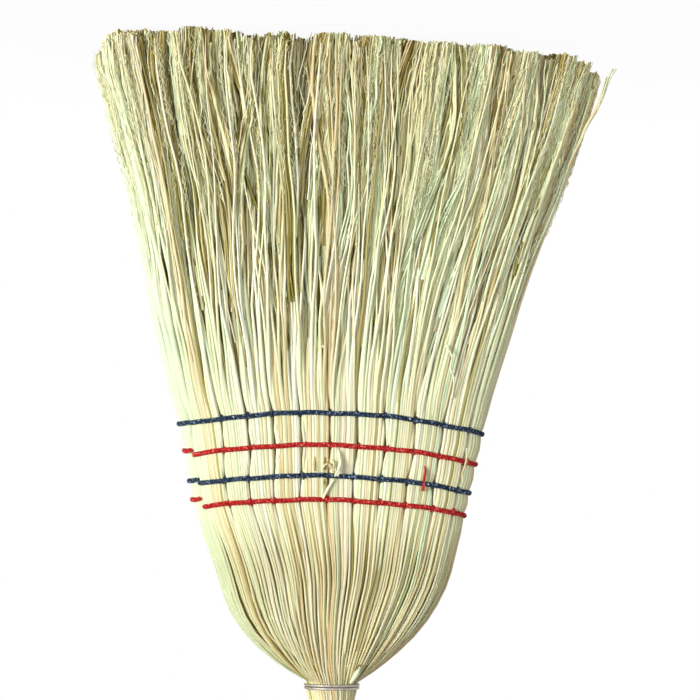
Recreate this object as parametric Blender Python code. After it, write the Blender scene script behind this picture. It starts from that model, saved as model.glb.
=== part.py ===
"""Four-seam corn broom, standing on its bristle tips with the handle up.

The origin is on the trim line under the middle of the head, X runs across the head and the
photographed face looks towards -Y. All sizes are in metres.
"""

import math
import random

import bmesh
import bpy
from mathutils import Matrix, Vector

for old in list(bpy.data.objects):
    bpy.data.objects.remove(old, do_unlink=True)

# The whole broom
TOTAL_LENGTH = 1.370
CLEARANCE = 0.0003

# Outline of the head, from the trim line up to the band
TIP_WIDTH = 0.351
TIP_DEPTH = 0.062
SEWN_LENGTH = 0.225
SEWN_WIDTH_LOW = 0.2085
SEWN_WIDTH_HIGH = 0.187
SEWN_DEPTH = 0.050
SEWN_OFFSET = 0.005
FLARE_WIDTH = 0.247
FLARE_SHARE = 0.8
BAND_HEIGHT = 0.435
BULB_START_RADIUS = 0.0195

# Neck, where the stalks are bound to the handle
BAND_SEAT_RADIUS = 0.0173
BAND_SEAT_HEIGHT = 0.0065
NECK_RADIUS = 0.0152
NECK_SHRINK = 0.0050
STALK_END_RADIUS = 0.0144
STALK_LENGTH = 0.111
STALK_CUT = 0.015
STALK_EDGE = 0.0008

# Seams, counted from the bristles towards the handle, with their distances below the band
SEAM_DROPS = (0.180, 0.1585, 0.138, 0.122)
SEAM_NAMES = ("seam_blue_lower", "seam_red_lower", "seam_blue_upper", "seam_red_upper")
SEAM_RISE_LOW = 0.0113
SEAM_RISE_HIGH = 0.008
ARCH_FADE = 0.042
SEAM_GROOVE = 0.0022
SEAM_REACH = 0.010
STITCH_NOTCH = 0.002
STITCH_VALLEY = 0.0016
TWINE_DIAMETER = 0.0028
STITCH_DIAMETER = 0.0022

# Bunches: a shoulder at each edge, and columns between the stitches on both faces
COLUMNS_PER_FACE = 10
EDGE_SHARE = 0.9
SHOULDER_CORE_SHARE = 0.35
SEWN_POWER = 3.2
NORMAL_STEP_SHARE = 0.1
COLUMN_SEGMENTS = 3
SHOULDER_SEGMENTS = 4

# Bristles
CELLS_ACROSS = 4
CELLS_DEEP = 2
STRAND_ROOT_SHARE = 0.80
STRAND_MIDDLE_SHARE = 0.76
STRAND_TIP_SHARE = 0.62
STRAND_BEND_SHARE = 0.45
STRAND_SWAY = 0.0004
TIP_RAGGED = 0.005
TIP_CUT_SHARE = 0.4
CORNER_RISE = 0.015
CORNER_POWER = 8

# Handle
HANDLE_DIAMETER = 0.024
HANDLE_TAPER = 0.043
HANDLE_TIP_DIAMETER = 0.009
HANDLE_DEPTH = 0.042
CORE_CLOSE = 0.038
HANDLE_END_RADIUS = 0.009
HANDLE_CHAMFER = 0.0015
HANDLE_SIDES = 32
END_ARC_STEPS = 4

# Binding wire and its nails
WIRE_DIAMETER = 0.0017
WIRE_PITCH = 0.0022
BINDING_TURNS = 2
RISER_TURN_SHARE = 0.5
MIDDLE_BINDING_RISE = 0.051
UPPER_BINDING_RISE = 0.096
POINTS_PER_TURN = 24
LOWER_NAIL_BUNCH = 5
UPPER_NAIL_BUNCH = 6
NAIL_DIAMETER = 0.0016
NAIL_HEAD_DIAMETER = 0.0042
NAIL_HEAD_HEIGHT = 0.0008
NAIL_LENGTH = 0.013
NAIL_POINT = 0.003
NAIL_SIDES = 12

# Bulb between the band and the upper seam, as shares of the height between them, of the width
# and the depth that are gained, and of the sewn part's offset
BULB_SHARES = (
    (0.09, 0.215, 0.50, 0.36),
    (0.24, 0.50, 1.10, 0.76),
    (0.37, 0.64, 1.25, 0.74),
    (0.57, 0.778, 1.25, 0.25),
)

BRISTLE_LENGTH = BAND_HEIGHT - SEWN_LENGTH
SEAM_HEIGHTS = [BAND_HEIGHT - drop for drop in SEAM_DROPS]
BULB_TOP = BAND_HEIGHT - CLEARANCE - WIRE_DIAMETER / 2
BULB_FOOT = BAND_HEIGHT - (BAND_HEIGHT - SEAM_HEIGHTS[-1]) * BULB_SHARES[-1][0]
CORE_FOOT = BAND_HEIGHT - HANDLE_DEPTH - CORE_CLOSE
BUNCHES = 2 * COLUMNS_PER_FACE + 2
SHOULDERS = (0, COLUMNS_PER_FACE + 1)
BUNCH_ANGLE = 2 * math.pi / BUNCHES
STALK_BORE = (HANDLE_DIAMETER / 2 + CLEARANCE) / math.cos(BUNCH_ANGLE / 2)
SHARP_ANGLE = math.radians(38)
STRAW = (0.61, 0.55, 0.31)
BLUE = (0.023, 0.042, 0.125)
RED = (0.52, 0.014, 0.023)
STEEL = (0.45, 0.43, 0.40)
PINE = (0.62, 0.42, 0.22)


def mix(low, high, share):
    """The value at a share of the way from low to high."""
    return low + (high - low) * share


def between(value, low, high):
    """How far a value lies from low to high, as a share kept to 0 to 1."""
    return min(1.0, max(0.0, (value - low) / (high - low)))


def smooth(share):
    """A share that starts and ends level."""
    return share * share * (3 - 2 * share)


def read_profile(rows, height):
    """The half width, half depth and offset at a height, from rows that run upwards."""
    for (low, *below), (high, *above) in zip(rows, rows[1:]):
        if height <= high:
            share = between(height, low, high)
            return [mix(a, b, share) for a, b in zip(below, above)]
    return rows[-1][1:]


def head_profile():
    """Heights with the head's half width, half depth and offset, from the trim line up."""
    start = BULB_START_RADIUS
    width = SEWN_WIDTH_HIGH / 2
    depth = SEWN_DEPTH / 2
    flare_depth = mix(TIP_DEPTH / 2, depth, FLARE_SHARE)
    flare = (FLARE_WIDTH / 2, flare_depth, SEWN_OFFSET * FLARE_SHARE)
    rows = [
        (0.0, TIP_WIDTH / 2, TIP_DEPTH / 2, 0.0),
        (SEAM_HEIGHTS[0] * FLARE_SHARE, *flare),
        (SEAM_HEIGHTS[0], SEWN_WIDTH_LOW / 2, depth, SEWN_OFFSET),
        (SEAM_HEIGHTS[-1], width, depth, SEWN_OFFSET),
    ]
    for drop, wide, deep, aside in reversed(BULB_SHARES):
        height = mix(BAND_HEIGHT, SEAM_HEIGHTS[-1], drop)
        sizes = (mix(start, width, wide), mix(start, depth, deep), SEWN_OFFSET * aside)
        rows.append((height, *sizes))
    seat_top = BAND_HEIGHT + BAND_SEAT_HEIGHT
    rounds = [
        (BULB_TOP, start),
        (BAND_HEIGHT, BAND_SEAT_RADIUS),
        (seat_top, BAND_SEAT_RADIUS),
        (seat_top + NECK_SHRINK, NECK_RADIUS),
        (BAND_HEIGHT + STALK_LENGTH, STALK_END_RADIUS),
        (BAND_HEIGHT + STALK_LENGTH + STALK_CUT, HANDLE_DIAMETER / 2 + CLEARANCE + STALK_EDGE),
    ]
    return rows + [(height, radius, radius, 0.0) for height, radius in rounds]


PROFILE = head_profile()


def station(height, pinch=0.0):
    """The sizes of the head's cross-section at a height; pinch is 1 in a seam's groove."""
    half_width, half_depth, offset = read_profile(PROFILE, height)
    spread = smooth(between(height, BULB_TOP, BULB_FOOT))
    sewn = between(height, SEAM_HEIGHTS[-1] + ARCH_FADE, SEAM_HEIGHTS[-1])
    seams = between(height, SEAM_HEIGHTS[-1], SEAM_HEIGHTS[0])
    valley = between(height, SEAM_HEIGHTS[0] - BRISTLE_LENGTH / 2, SEAM_HEIGHTS[0])
    return {
        "height": height,
        "half_width": half_width,
        "half_depth": half_depth,
        "power": mix(2.0, SEWN_POWER, spread),
        "spread": spread,
        "core": between(height, BULB_TOP, CORE_FOOT),
        "offset": offset,
        "rise": mix(SEAM_RISE_HIGH, SEAM_RISE_LOW, seams) * sewn,
        "valley": STITCH_VALLEY * sewn * valley,
        "pinch": pinch,
    }


def rim_angle(place, spread):
    """Angle of a place on the rim. Places count the bunches round from the +X edge."""
    place %= BUNCHES
    mirrored = place > BUNCHES / 2
    if mirrored:
        place = BUNCHES - place
    edge = math.acos(EDGE_SHARE ** (SEWN_POWER / 2))
    if place < 0.5:
        sewn = edge * place / 0.5
    elif place > COLUMNS_PER_FACE + 0.5:
        sewn = math.pi - edge * (BUNCHES / 2 - place) / 0.5
    else:
        across = EDGE_SHARE * (1 - 2 * (place - 0.5) / COLUMNS_PER_FACE)
        sewn = math.acos(math.copysign(abs(across) ** (SEWN_POWER / 2), across))
    angle = mix(place * BUNCH_ANGLE, sewn, spread)
    return -angle if mirrored else angle


def rim_point(at, place):
    """Point of the head's outline at a place, seen from above."""
    angle = rim_angle(place, at["spread"])
    power = 2 / at["power"]
    across = math.copysign(abs(math.cos(angle)) ** power, math.cos(angle))
    deep = math.copysign(abs(math.sin(angle)) ** power, math.sin(angle))
    return Vector((at["offset"] + at["half_width"] * across, at["half_depth"] * deep))


def rim_normal(at, place):
    """Outward direction of the head's outline at a place."""
    along = rim_point(at, place + NORMAL_STEP_SHARE) - rim_point(at, place - NORMAL_STEP_SHARE)
    return Vector((along.y, -along.x)).normalized()


def core_point(at, place):
    """Point where the side wall at a place ends: at the handle, or at the middle plane."""
    angle = rim_angle(place, at["spread"])
    by_handle = Vector((STALK_BORE * math.cos(angle), STALK_BORE * math.sin(angle)))
    gap = math.copysign(CLEARANCE / 2, math.sin(angle))
    in_plane = Vector((rim_point(at, place).x, gap))
    return by_handle.lerp(in_plane, at["core"])


def lifted(at, point):
    """A point seen from above, put at its height; the seams arch up towards the edges."""
    across = (point.x - at["offset"]) / at["half_width"]
    return Vector((point.x, point.y, at["height"] + at["rise"] * across * across))


def rim_segments(index):
    """Number of straight pieces in a bunch's stretch of the outline."""
    return SHOULDER_SEGMENTS if index in SHOULDERS else COLUMN_SEGMENTS


def bunch_section(at, index):
    """Outer row and inner row of one bunch's cross-section, with its gaps and grooves."""
    segments = rim_segments(index)
    places = [index - 0.5 + step / segments for step in range(segments + 1)]
    outer = [rim_point(at, place) for place in places]
    inner = [core_point(at, places[0]), core_point(at, places[-1])]
    if index in SHOULDERS:
        share = SHOULDER_CORE_SHARE * at["core"]
        inner = [inner[0].lerp(outer[0], share), inner[1].lerp(outer[-1], share)]
    sink = SEAM_GROOVE * at["pinch"]
    for step in range(1, segments):
        outer[step] = outer[step] - rim_normal(at, places[step]) * sink
    for rim, core in ((0, 0), (-1, 1)):
        down = (inner[core] - outer[rim]).normalized()
        outer[rim] = outer[rim] + down * (sink + at["valley"])
    moved = []
    for rim, following, core, far in ((0, 1, 0, 1), (-1, -2, 1, 0)):
        side = outer[rim] - inner[core]
        inward = Vector((-side.y, side.x)).normalized()
        back = CLEARANCE / 2 + STITCH_NOTCH * at["pinch"]
        along_rim = outer[following] - outer[rim]
        moved.append(outer[rim] + along_rim * (back / abs(inward.dot(along_rim))))
        if index in SHOULDERS:
            moved.append(inner[core] + inward * math.copysign(back, inward.dot(along_rim)))
        else:
            along_core = inner[far] - inner[core]
            moved.append(inner[core] + along_core * (back / abs(inward.dot(along_core))))
    outer[0], inner[0], outer[-1], inner[1] = moved
    return outer, inner


def section_point(section, across, deep):
    """Point of a cross-section at shares from its first side and from its inner row."""
    outer, inner = section
    reach = across * (len(outer) - 1)
    step = min(int(reach), len(outer) - 2)
    rim = outer[step].lerp(outer[step + 1], reach - step)
    return inner[0].lerp(inner[1], across).lerp(rim, deep)


def stations():
    """The head's cross-sections from the stalk ends down to the roots of the bristles."""
    heights = [(row[0], 0.0) for row in reversed(PROFILE) if row[0] > SEAM_HEIGHTS[-1]]
    heights.append((SEAM_HEIGHTS[-1] + SEAM_REACH, 0.0))
    for upper, lower in zip(SEAM_HEIGHTS[::-1], SEAM_HEIGHTS[-2::-1]):
        heights += [(upper, 1.0), ((upper + lower) / 2, 0.0)]
    heights += [(SEAM_HEIGHTS[0], 1.0), (SEAM_HEIGHTS[0] - SEAM_REACH, 0.0)]
    return [station(height, pinch) for height, pinch in heights]


def add_strip(bm, first, second):
    """Triangles between two rows of vertices, which may differ in number."""
    i = j = 0
    while i < len(first) - 1 or j < len(second) - 1:
        ahead_first = (i + 1) / (len(first) - 1)
        ahead_second = (j + 1) / (len(second) - 1)
        if j < len(second) - 1 and ahead_second <= ahead_first:
            bm.faces.new((first[i], second[j], second[j + 1]))
            j += 1
        else:
            bm.faces.new((first[i], second[j], first[i + 1]))
            i += 1


def add_rows(bm, upper, lower):
    """Walls between two rings, each given as its outer, inner and two side rows."""
    for first, second in zip(upper, lower):
        add_strip(bm, first, second)


def add_strand(bm, root, sections, places, rng):
    """One three-sided bristle, fused to the triangle root of the bunch's end face."""
    shares = (STRAND_ROOT_SHARE, STRAND_MIDDLE_SHARE, STRAND_TIP_SHARE)
    rings = [root]
    for level, (at, section) in enumerate(sections):
        points = [section_point(section, *place) for place in places]
        centre = sum(points, Vector((0.0, 0.0))) / len(points)
        sway = Vector((rng.uniform(-1, 1), rng.uniform(-1, 1))) * STRAND_SWAY * min(level, 1)
        points = [centre + sway + (point - centre) * shares[level] for point in points]
        if level < len(sections) - 1:
            ring = [lifted(at, point) for point in points]
        else:
            across = abs((centre.x - at["offset"]) / at["half_width"])
            ragged = rng.uniform(-TIP_CUT_SHARE, 1 - TIP_CUT_SHARE) * TIP_RAGGED
            cut = max(0.0, CORNER_RISE * across**CORNER_POWER + ragged)
            ring = [Vector((point.x, point.y, cut)) for point in points]
        rings.append([bm.verts.new(point) for point in ring])
    for upper, lower in zip(rings, rings[1:]):
        add_strip(bm, [*upper, upper[0]], [*lower, lower[0]])
    bm.faces.new(rings[-1])


def add_bristles(bm, index, grid, rng):
    """Bristles on every cell of the bunch's end face, each cell split into two triangles."""
    heights = (BRISTLE_LENGTH, BRISTLE_LENGTH * STRAND_BEND_SHARE, 0.0)
    sections = []
    for height in heights:
        at = station(height)
        sections.append((at, bunch_section(at, index)))
    for i in range(CELLS_ACROSS):
        for j in range(CELLS_DEEP):
            corners = [(i, j), (i + 1, j), (i + 1, j + 1), (i, j + 1)]
            if (i + j) % 2:
                corners = corners[1:] + corners[:1]
            for keep in ((0, 1, 2), (0, 2, 3)):
                cell = [corners[k] for k in keep]
                places = [(a / CELLS_ACROSS, b / CELLS_DEEP) for a, b in cell]
                root = [grid[a][b] for a, b in cell]
                add_strand(bm, root, sections, places, rng)


def build_bunch(name, index):
    """One bunch of broomcorn: stalk ends at the neck, sewn part, and loose bristles."""
    rng = random.Random(index)
    bm = bmesh.new()
    previous = None
    for at in stations():
        outer, inner = bunch_section(at, index)
        outer = [bm.verts.new(lifted(at, point)) for point in outer]
        inner = [bm.verts.new(lifted(at, point)) for point in inner]
        rows = (outer, inner, [inner[0], outer[0]], [inner[1], outer[-1]])
        if previous:
            add_rows(bm, previous, rows)
        else:
            bm.faces.new([*outer, *reversed(inner)])
        previous = rows
    at = station(BRISTLE_LENGTH)
    section = bunch_section(at, index)
    grid = []
    for i in range(CELLS_ACROSS + 1):
        shares = [j / CELLS_DEEP for j in range(CELLS_DEEP + 1)]
        points = [section_point(section, i / CELLS_ACROSS, share) for share in shares]
        grid.append([bm.verts.new(lifted(at, point)) for point in points])
    outer = [column[-1] for column in grid]
    inner = [column[0] for column in grid]
    add_rows(bm, previous, (outer, inner, grid[0], grid[-1]))
    add_bristles(bm, index, grid, rng)
    return finish_mesh(bm, name, STRAW, 0.75, 0.0)


def finish_mesh(bm, name, colour, roughness, metallic):
    """Turns a bmesh into a named object with its own material."""
    bmesh.ops.recalc_face_normals(bm, faces=bm.faces)
    mesh = bpy.data.meshes.new(name)
    bm.to_mesh(mesh)
    bm.free()
    mesh.shade_smooth()
    mesh.set_sharp_from_angle(angle=SHARP_ANGLE)
    obj = bpy.data.objects.new(name, mesh)
    bpy.context.scene.collection.objects.link(obj)
    paint(obj, colour, roughness, metallic)
    return obj


def paint(obj, colour, roughness, metallic):
    """Gives an object a material of its own."""
    material = bpy.data.materials.new(obj.name)
    material.use_nodes = True
    shader = material.node_tree.nodes["Principled BSDF"]
    shader.inputs["Base Color"].default_value = (*colour, 1.0)
    shader.inputs["Roughness"].default_value = roughness
    shader.inputs["Metallic"].default_value = metallic
    obj.data.materials.clear()
    obj.data.materials.append(material)


def turned(profile, sides):
    """A bmesh turned about Z from a profile of radius and height that starts and ends on it."""
    bm = bmesh.new()
    verts = [bm.verts.new((radius, 0.0, height)) for radius, height in profile]
    edges = [bm.edges.new(pair) for pair in zip(verts, verts[1:])]
    bmesh.ops.spin(
        bm,
        geom=verts + edges,
        axis=(0, 0, 1),
        cent=(0, 0, 0),
        angle=2 * math.pi,
        steps=sides,
        use_merge=True,
    )
    bmesh.ops.remove_doubles(bm, verts=bm.verts, dist=CLEARANCE / 10)
    return bm


def build_handle():
    """Turned handle: a tapered tip inside the bulb and a rounded upper end with a flat."""
    radius = HANDLE_DIAMETER / 2
    tip = HANDLE_TIP_DIAMETER / 2
    foot = BAND_HEIGHT - HANDLE_DEPTH
    profile = [
        (0.0, foot),
        (tip - HANDLE_CHAMFER, foot),
        (tip, foot + HANDLE_CHAMFER),
        (radius, foot + HANDLE_TAPER),
    ]
    for step in range(END_ARC_STEPS + 1):
        turn = math.pi / 2 * step / END_ARC_STEPS
        out = radius - HANDLE_END_RADIUS * (1 - math.cos(turn))
        up = TOTAL_LENGTH - HANDLE_END_RADIUS * (1 - math.sin(turn))
        profile.append((out, up))
    profile.append((0.0, TOTAL_LENGTH))
    return finish_mesh(turned(profile, HANDLE_SIDES), "handle", PINE, 0.4, 0.0)


def aimed(place, direction):
    """Matrix that stands a piece's Z axis along a direction, with its origin at a place."""
    turn = direction.to_track_quat("Z", "Y").to_matrix().to_4x4()
    return Matrix.Translation(place) @ turn


def seam_path(height):
    """Centre line of a seam's twine round the head, with the index of each bunch passed."""
    at = station(height, 1.0)
    slope = math.atan(SEAM_GROOVE / ((SEAM_HEIGHTS[-1] - SEAM_HEIGHTS[-2]) / 2))
    seat = (TWINE_DIAMETER / 2 + CLEARANCE) / math.cos(slope)
    path = []
    for index in range(BUNCHES):
        segments = rim_segments(index)
        outer = bunch_section(at, index)[0]
        for step in range(1, segments):
            lying = outer[step] + rim_normal(at, index - 0.5 + step / segments) * seat
            path.append((index, lifted(at, lying)))
    return at, path


def tube(name, points, diameter, cyclic):
    """A round cord or wire along points, as a curve object with filled ends."""
    curve = bpy.data.curves.new(name, "CURVE")
    curve.dimensions = "3D"
    curve.bevel_depth = diameter / 2
    curve.bevel_resolution = 1
    curve.resolution_u = 1
    curve.render_resolution_u = 0
    curve.use_fill_caps = not cyclic
    spline = curve.splines.new("POLY")
    spline.points.add(len(points) - 1)
    for target, point in zip(spline.points, points):
        target.co = (*point, 1.0)
    spline.use_cyclic_u = cyclic
    obj = bpy.data.objects.new(name, curve)
    bpy.context.scene.collection.objects.link(obj)
    return obj


def stitch_ends(at, path):
    """Pairs of points on the front and the back twine, where each stitch passes through."""
    crossings = {}
    for (index, here), (following, there) in zip(path, path[1:] + path[:1]):
        if index != following:
            boundary = rim_point(at, index + 0.5)
            share = between(boundary.x, here.x, there.x)
            crossings[index] = here.lerp(there, share)
    pairs = []
    for stitch in range(COLUMNS_PER_FACE + 1):
        pairs.append((crossings[stitch], crossings[BUNCHES - 1 - stitch]))
    return pairs


def build_seam(name, height, colour):
    """One seam: twine laid round the head, with its stitches passing between the columns."""
    at, path = seam_path(height)
    loop = tube(name + "_loop", [point for _, point in path], TWINE_DIAMETER, True)
    stitches = bmesh.new()
    for back, front in stitch_ends(at, path):
        length = (back - front).length
        bmesh.ops.create_cone(
            stitches,
            cap_ends=True,
            segments=4,
            radius1=STITCH_DIAMETER / 2,
            radius2=STITCH_DIAMETER / 2,
            depth=length,
            matrix=aimed((back + front) / 2, back - front),
        )
    stitch_object = finish_mesh(stitches, name + "_stitches", colour, 0.85, 0.0)
    view = bpy.context.evaluated_depsgraph_get()
    mesh = bpy.data.meshes.new_from_object(loop.evaluated_get(view))
    bpy.data.objects.remove(loop, do_unlink=True)
    seam = bpy.data.objects.new(name, mesh)
    bpy.context.scene.collection.objects.link(seam)
    paint(seam, colour, 0.85, 0.0)
    join = seam.modifiers.new("stitches", "BOOLEAN")
    join.operation = "UNION"
    join.object = stitch_object
    stitch_object.hide_render = True
    stitch_object.display_type = "WIRE"
    return seam


def wire_lead(radius):
    """Angle from the last wound point of the wire to the nail that its end butts against."""
    return math.atan((WIRE_DIAMETER + CLEARANCE + NAIL_DIAMETER / 2) / radius)


def wire_radius(height):
    """Distance of the wire's centre line from the handle's axis at a height."""
    seat = WIRE_DIAMETER / 2 + CLEARANCE
    return (read_profile(PROFILE, height)[0] + seat) / math.cos(math.pi / POINTS_PER_TURN)


def wire_height(turn):
    """Height of the wire after a number of turns: three bindings, with a riser between them."""
    rise = BINDING_TURNS * WIRE_PITCH
    period = BINDING_TURNS + RISER_TURN_SHARE
    rises = (CLEARANCE + WIRE_DIAMETER / 2, MIDDLE_BINDING_RISE, UPPER_BINDING_RISE)
    starts = [BAND_HEIGHT + above for above in rises]
    binding = min(int(turn / period), len(starts) - 1)
    wound = turn - binding * period
    height = starts[binding] + min(wound, BINDING_TURNS) * WIRE_PITCH
    if wound > BINDING_TURNS:
        share = smooth((wound - BINDING_TURNS) / RISER_TURN_SHARE)
        height = mix(starts[binding] + rise, starts[binding + 1], share)
    return height


def wire_path():
    """Points of the binding wire, wound upwards, and the place and direction of both nails."""
    turns = 3 * BINDING_TURNS + 2 * RISER_TURN_SHARE
    low = wire_radius(wire_height(0.0))
    high = wire_radius(wire_height(turns))
    start = LOWER_NAIL_BUNCH * BUNCH_ANGLE + wire_lead(low)
    end = UPPER_NAIL_BUNCH * BUNCH_ANGLE - wire_lead(high) + 2 * math.pi * round(turns)
    count = round(turns * POINTS_PER_TURN)
    points = []
    for step in range(count + 1):
        angle = mix(start, end, step / count)
        height = wire_height(turns * step / count)
        radius = wire_radius(height)
        points.append(Vector((radius * math.cos(angle), radius * math.sin(angle), height)))
    nails = []
    for angle, sense, tip in ((start, -1, points[0]), (end, 1, points[-1])):
        along = Vector((-math.sin(angle), math.cos(angle), 0.0)) * sense
        outward = Vector((math.cos(angle), math.sin(angle), 0.0))
        reach = WIRE_DIAMETER + CLEARANCE + NAIL_DIAMETER / 2
        nails.append((tip + along * reach, outward))
        straight_end = tip + along * WIRE_DIAMETER
        points.insert(0 if sense < 0 else len(points), straight_end)
    return points, nails


def least_gap(points):
    """Least gap between turns of the wire, measured between its points."""
    least = math.inf
    for i, here in enumerate(points):
        for there in points[i + POINTS_PER_TURN // 2 :]:
            least = min(least, (here - there).length)
    return least - WIRE_DIAMETER


def nail_frame(place, outward):
    """Matrix that puts a nail's head, at its origin, just over the wire."""
    return aimed(place + outward * (WIRE_DIAMETER / 2 + CLEARANCE), outward)


def build_nail(name, place, outward):
    """Round nail driven through the stalks into the handle; its head keeps the wire's end."""
    shank = NAIL_DIAMETER / 2
    head = NAIL_HEAD_DIAMETER / 2
    profile = [
        (0.0, -NAIL_LENGTH),
        (shank, NAIL_POINT - NAIL_LENGTH),
        (shank, 0.0),
        (head, 0.0),
        (head, NAIL_HEAD_HEIGHT),
        (0.0, NAIL_HEAD_HEIGHT),
    ]
    nail = finish_mesh(turned(profile, NAIL_SIDES), name, STEEL, 0.45, 1.0)
    nail.matrix_world = nail_frame(place, outward)
    return nail


def build_bore(name, place, outward):
    """Cutter for the hole that a nail makes in the stalks and the handle."""
    radius = NAIL_DIAMETER / 2 + CLEARANCE
    profile = [
        (0.0, -NAIL_LENGTH - CLEARANCE),
        (radius, -NAIL_LENGTH - CLEARANCE),
        (radius, NAIL_LENGTH),
        (0.0, NAIL_LENGTH),
    ]
    bore = finish_mesh(turned(profile, NAIL_SIDES), name, STEEL, 0.45, 1.0)
    bore.matrix_world = nail_frame(place, outward)
    bore.hide_render = True
    bore.display_type = "WIRE"
    return bore


def cut(obj, cutter):
    """Takes a cutter out of an object."""
    bore = obj.modifiers.new(cutter.name, "BOOLEAN")
    bore.operation = "DIFFERENCE"
    bore.object = cutter


def bunch_name(index):
    """Name of a bunch; columns are numbered from the -X edge to the +X edge."""
    if index in SHOULDERS:
        return "shoulder_right" if index == 0 else "shoulder_left"
    if index < SHOULDERS[1]:
        return f"bunch_back_{SHOULDERS[1] - index:02d}"
    return f"bunch_front_{index - SHOULDERS[1]:02d}"


handle = build_handle()
bunches = [build_bunch(bunch_name(index), index) for index in range(BUNCHES)]
for number, (seam_name, seam_height) in enumerate(zip(SEAM_NAMES, SEAM_HEIGHTS)):
    build_seam(seam_name, seam_height, RED if number % 2 else BLUE)

wire_points, nail_places = wire_path()
wire = tube("binding_wire", wire_points, WIRE_DIAMETER, False)
paint(wire, STEEL, 0.4, 1.0)
print(f"Least gap between turns of the wire: {least_gap(wire_points) * 1000:.2f} mm")

nail_names = ("nail_lower", "nail_upper")
nail_bunches = (LOWER_NAIL_BUNCH, UPPER_NAIL_BUNCH)
for nail_name, (place, outward), bunch in zip(nail_names, nail_places, nail_bunches):
    build_nail(nail_name, place, outward)
    hole = build_bore(nail_name + "_bore", place, outward)
    cut(handle, hole)
    cut(bunches[bunch], hole)
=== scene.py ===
import math

import bpy
import numpy as np
from mathutils import Matrix, Vector


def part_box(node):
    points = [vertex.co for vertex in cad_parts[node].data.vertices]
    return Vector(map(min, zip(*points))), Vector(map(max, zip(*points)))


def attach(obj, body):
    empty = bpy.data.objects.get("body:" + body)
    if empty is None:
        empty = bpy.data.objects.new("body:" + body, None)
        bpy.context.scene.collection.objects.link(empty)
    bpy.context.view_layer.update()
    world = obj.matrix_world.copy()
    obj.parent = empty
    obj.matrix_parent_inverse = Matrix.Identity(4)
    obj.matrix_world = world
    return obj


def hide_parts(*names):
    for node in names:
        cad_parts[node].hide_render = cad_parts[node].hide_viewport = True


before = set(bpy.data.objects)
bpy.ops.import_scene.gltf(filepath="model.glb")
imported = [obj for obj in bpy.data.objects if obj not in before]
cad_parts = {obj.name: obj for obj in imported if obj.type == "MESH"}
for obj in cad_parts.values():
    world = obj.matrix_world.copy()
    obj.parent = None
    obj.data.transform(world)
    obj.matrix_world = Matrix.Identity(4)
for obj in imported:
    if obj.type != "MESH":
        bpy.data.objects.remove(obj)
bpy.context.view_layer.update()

# Photographer's camera: a long lens level with the head, a little to the +X side, and rolled
# half a turn, because the broom was photographed with its bristle tips up.
LENS = 198.4
CAMERA_DISTANCE = 2.6
CAMERA_YAW = math.radians(6.0)
CAMERA_PITCH = math.radians(2.0)
CAMERA_ROLL = math.radians(178.34)
AIM = Vector((-0.0059, 0.0, 0.212))

toward_camera = Vector((
    math.sin(CAMERA_YAW) * math.cos(CAMERA_PITCH),
    -math.cos(CAMERA_YAW) * math.cos(CAMERA_PITCH),
    math.sin(CAMERA_PITCH),
))
camera_data = bpy.data.cameras.new("camera")
camera_data.lens = LENS
camera_data.sensor_width = 36.0
camera_data.clip_end = 50.0
camera = bpy.data.objects.new("camera", camera_data)
bpy.context.scene.collection.objects.link(camera)
level = (-toward_camera).to_track_quat("-Z", "Y").to_matrix().to_4x4()
camera.matrix_world = (
    Matrix.Translation(AIM + toward_camera * CAMERA_DISTANCE)
    @ level
    @ Matrix.Rotation(-CAMERA_ROLL, 4, "Z")
)
bpy.context.scene.camera = camera

# Studio: a pale floor under the tips and a white surround. Light comes softly from low on
# the +X side, which is the upper left of the photograph, with weaker panels all round.
FLOOR_SIZE = 12.0
FLOOR_SHADOW_REACH = 0.7
FLOOR_SHADOW_SHARE = 0.05
FLOOR_COLOUR = (0.90, 0.90, 0.89, 1.0)
SURROUND_STRENGTH = 0.22
PANEL_AIM = Vector((0.0, 0.0, 0.25))
PANELS = (
    # name, place, size, power in watts
    ("key_panel", (2.3, -1.8, 0.34), (1.2, 0.6), 94.0),
    ("front_panel", (-0.3, -2.9, 0.34), (1.3, 0.6), 17.0),
    ("back_panel", (0.2, 2.8, 0.8), (1.4, 1.0), 58.0),
    ("side_panel", (-2.7, 0.3, 0.8), (1.2, 1.2), 9.0),
)


def connect(tree, pairs):
    """Links pairs of an output socket and an input socket."""
    for source, target in pairs:
        tree.links.new(source, target)


def sees_backdrop(nodes, links):
    """A mask that is 1 for camera, glossy and transmission rays."""
    path = nodes.new("ShaderNodeLightPath")
    mask = path.outputs["Is Camera Ray"]
    for ray in ("Is Glossy Ray", "Is Transmission Ray"):
        both = nodes.new("ShaderNodeMath")
        both.operation = "MAXIMUM"
        links.new(mask, both.inputs[0])
        links.new(path.outputs[ray], both.inputs[1])
        mask = both.outputs[0]
    return mask


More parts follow.
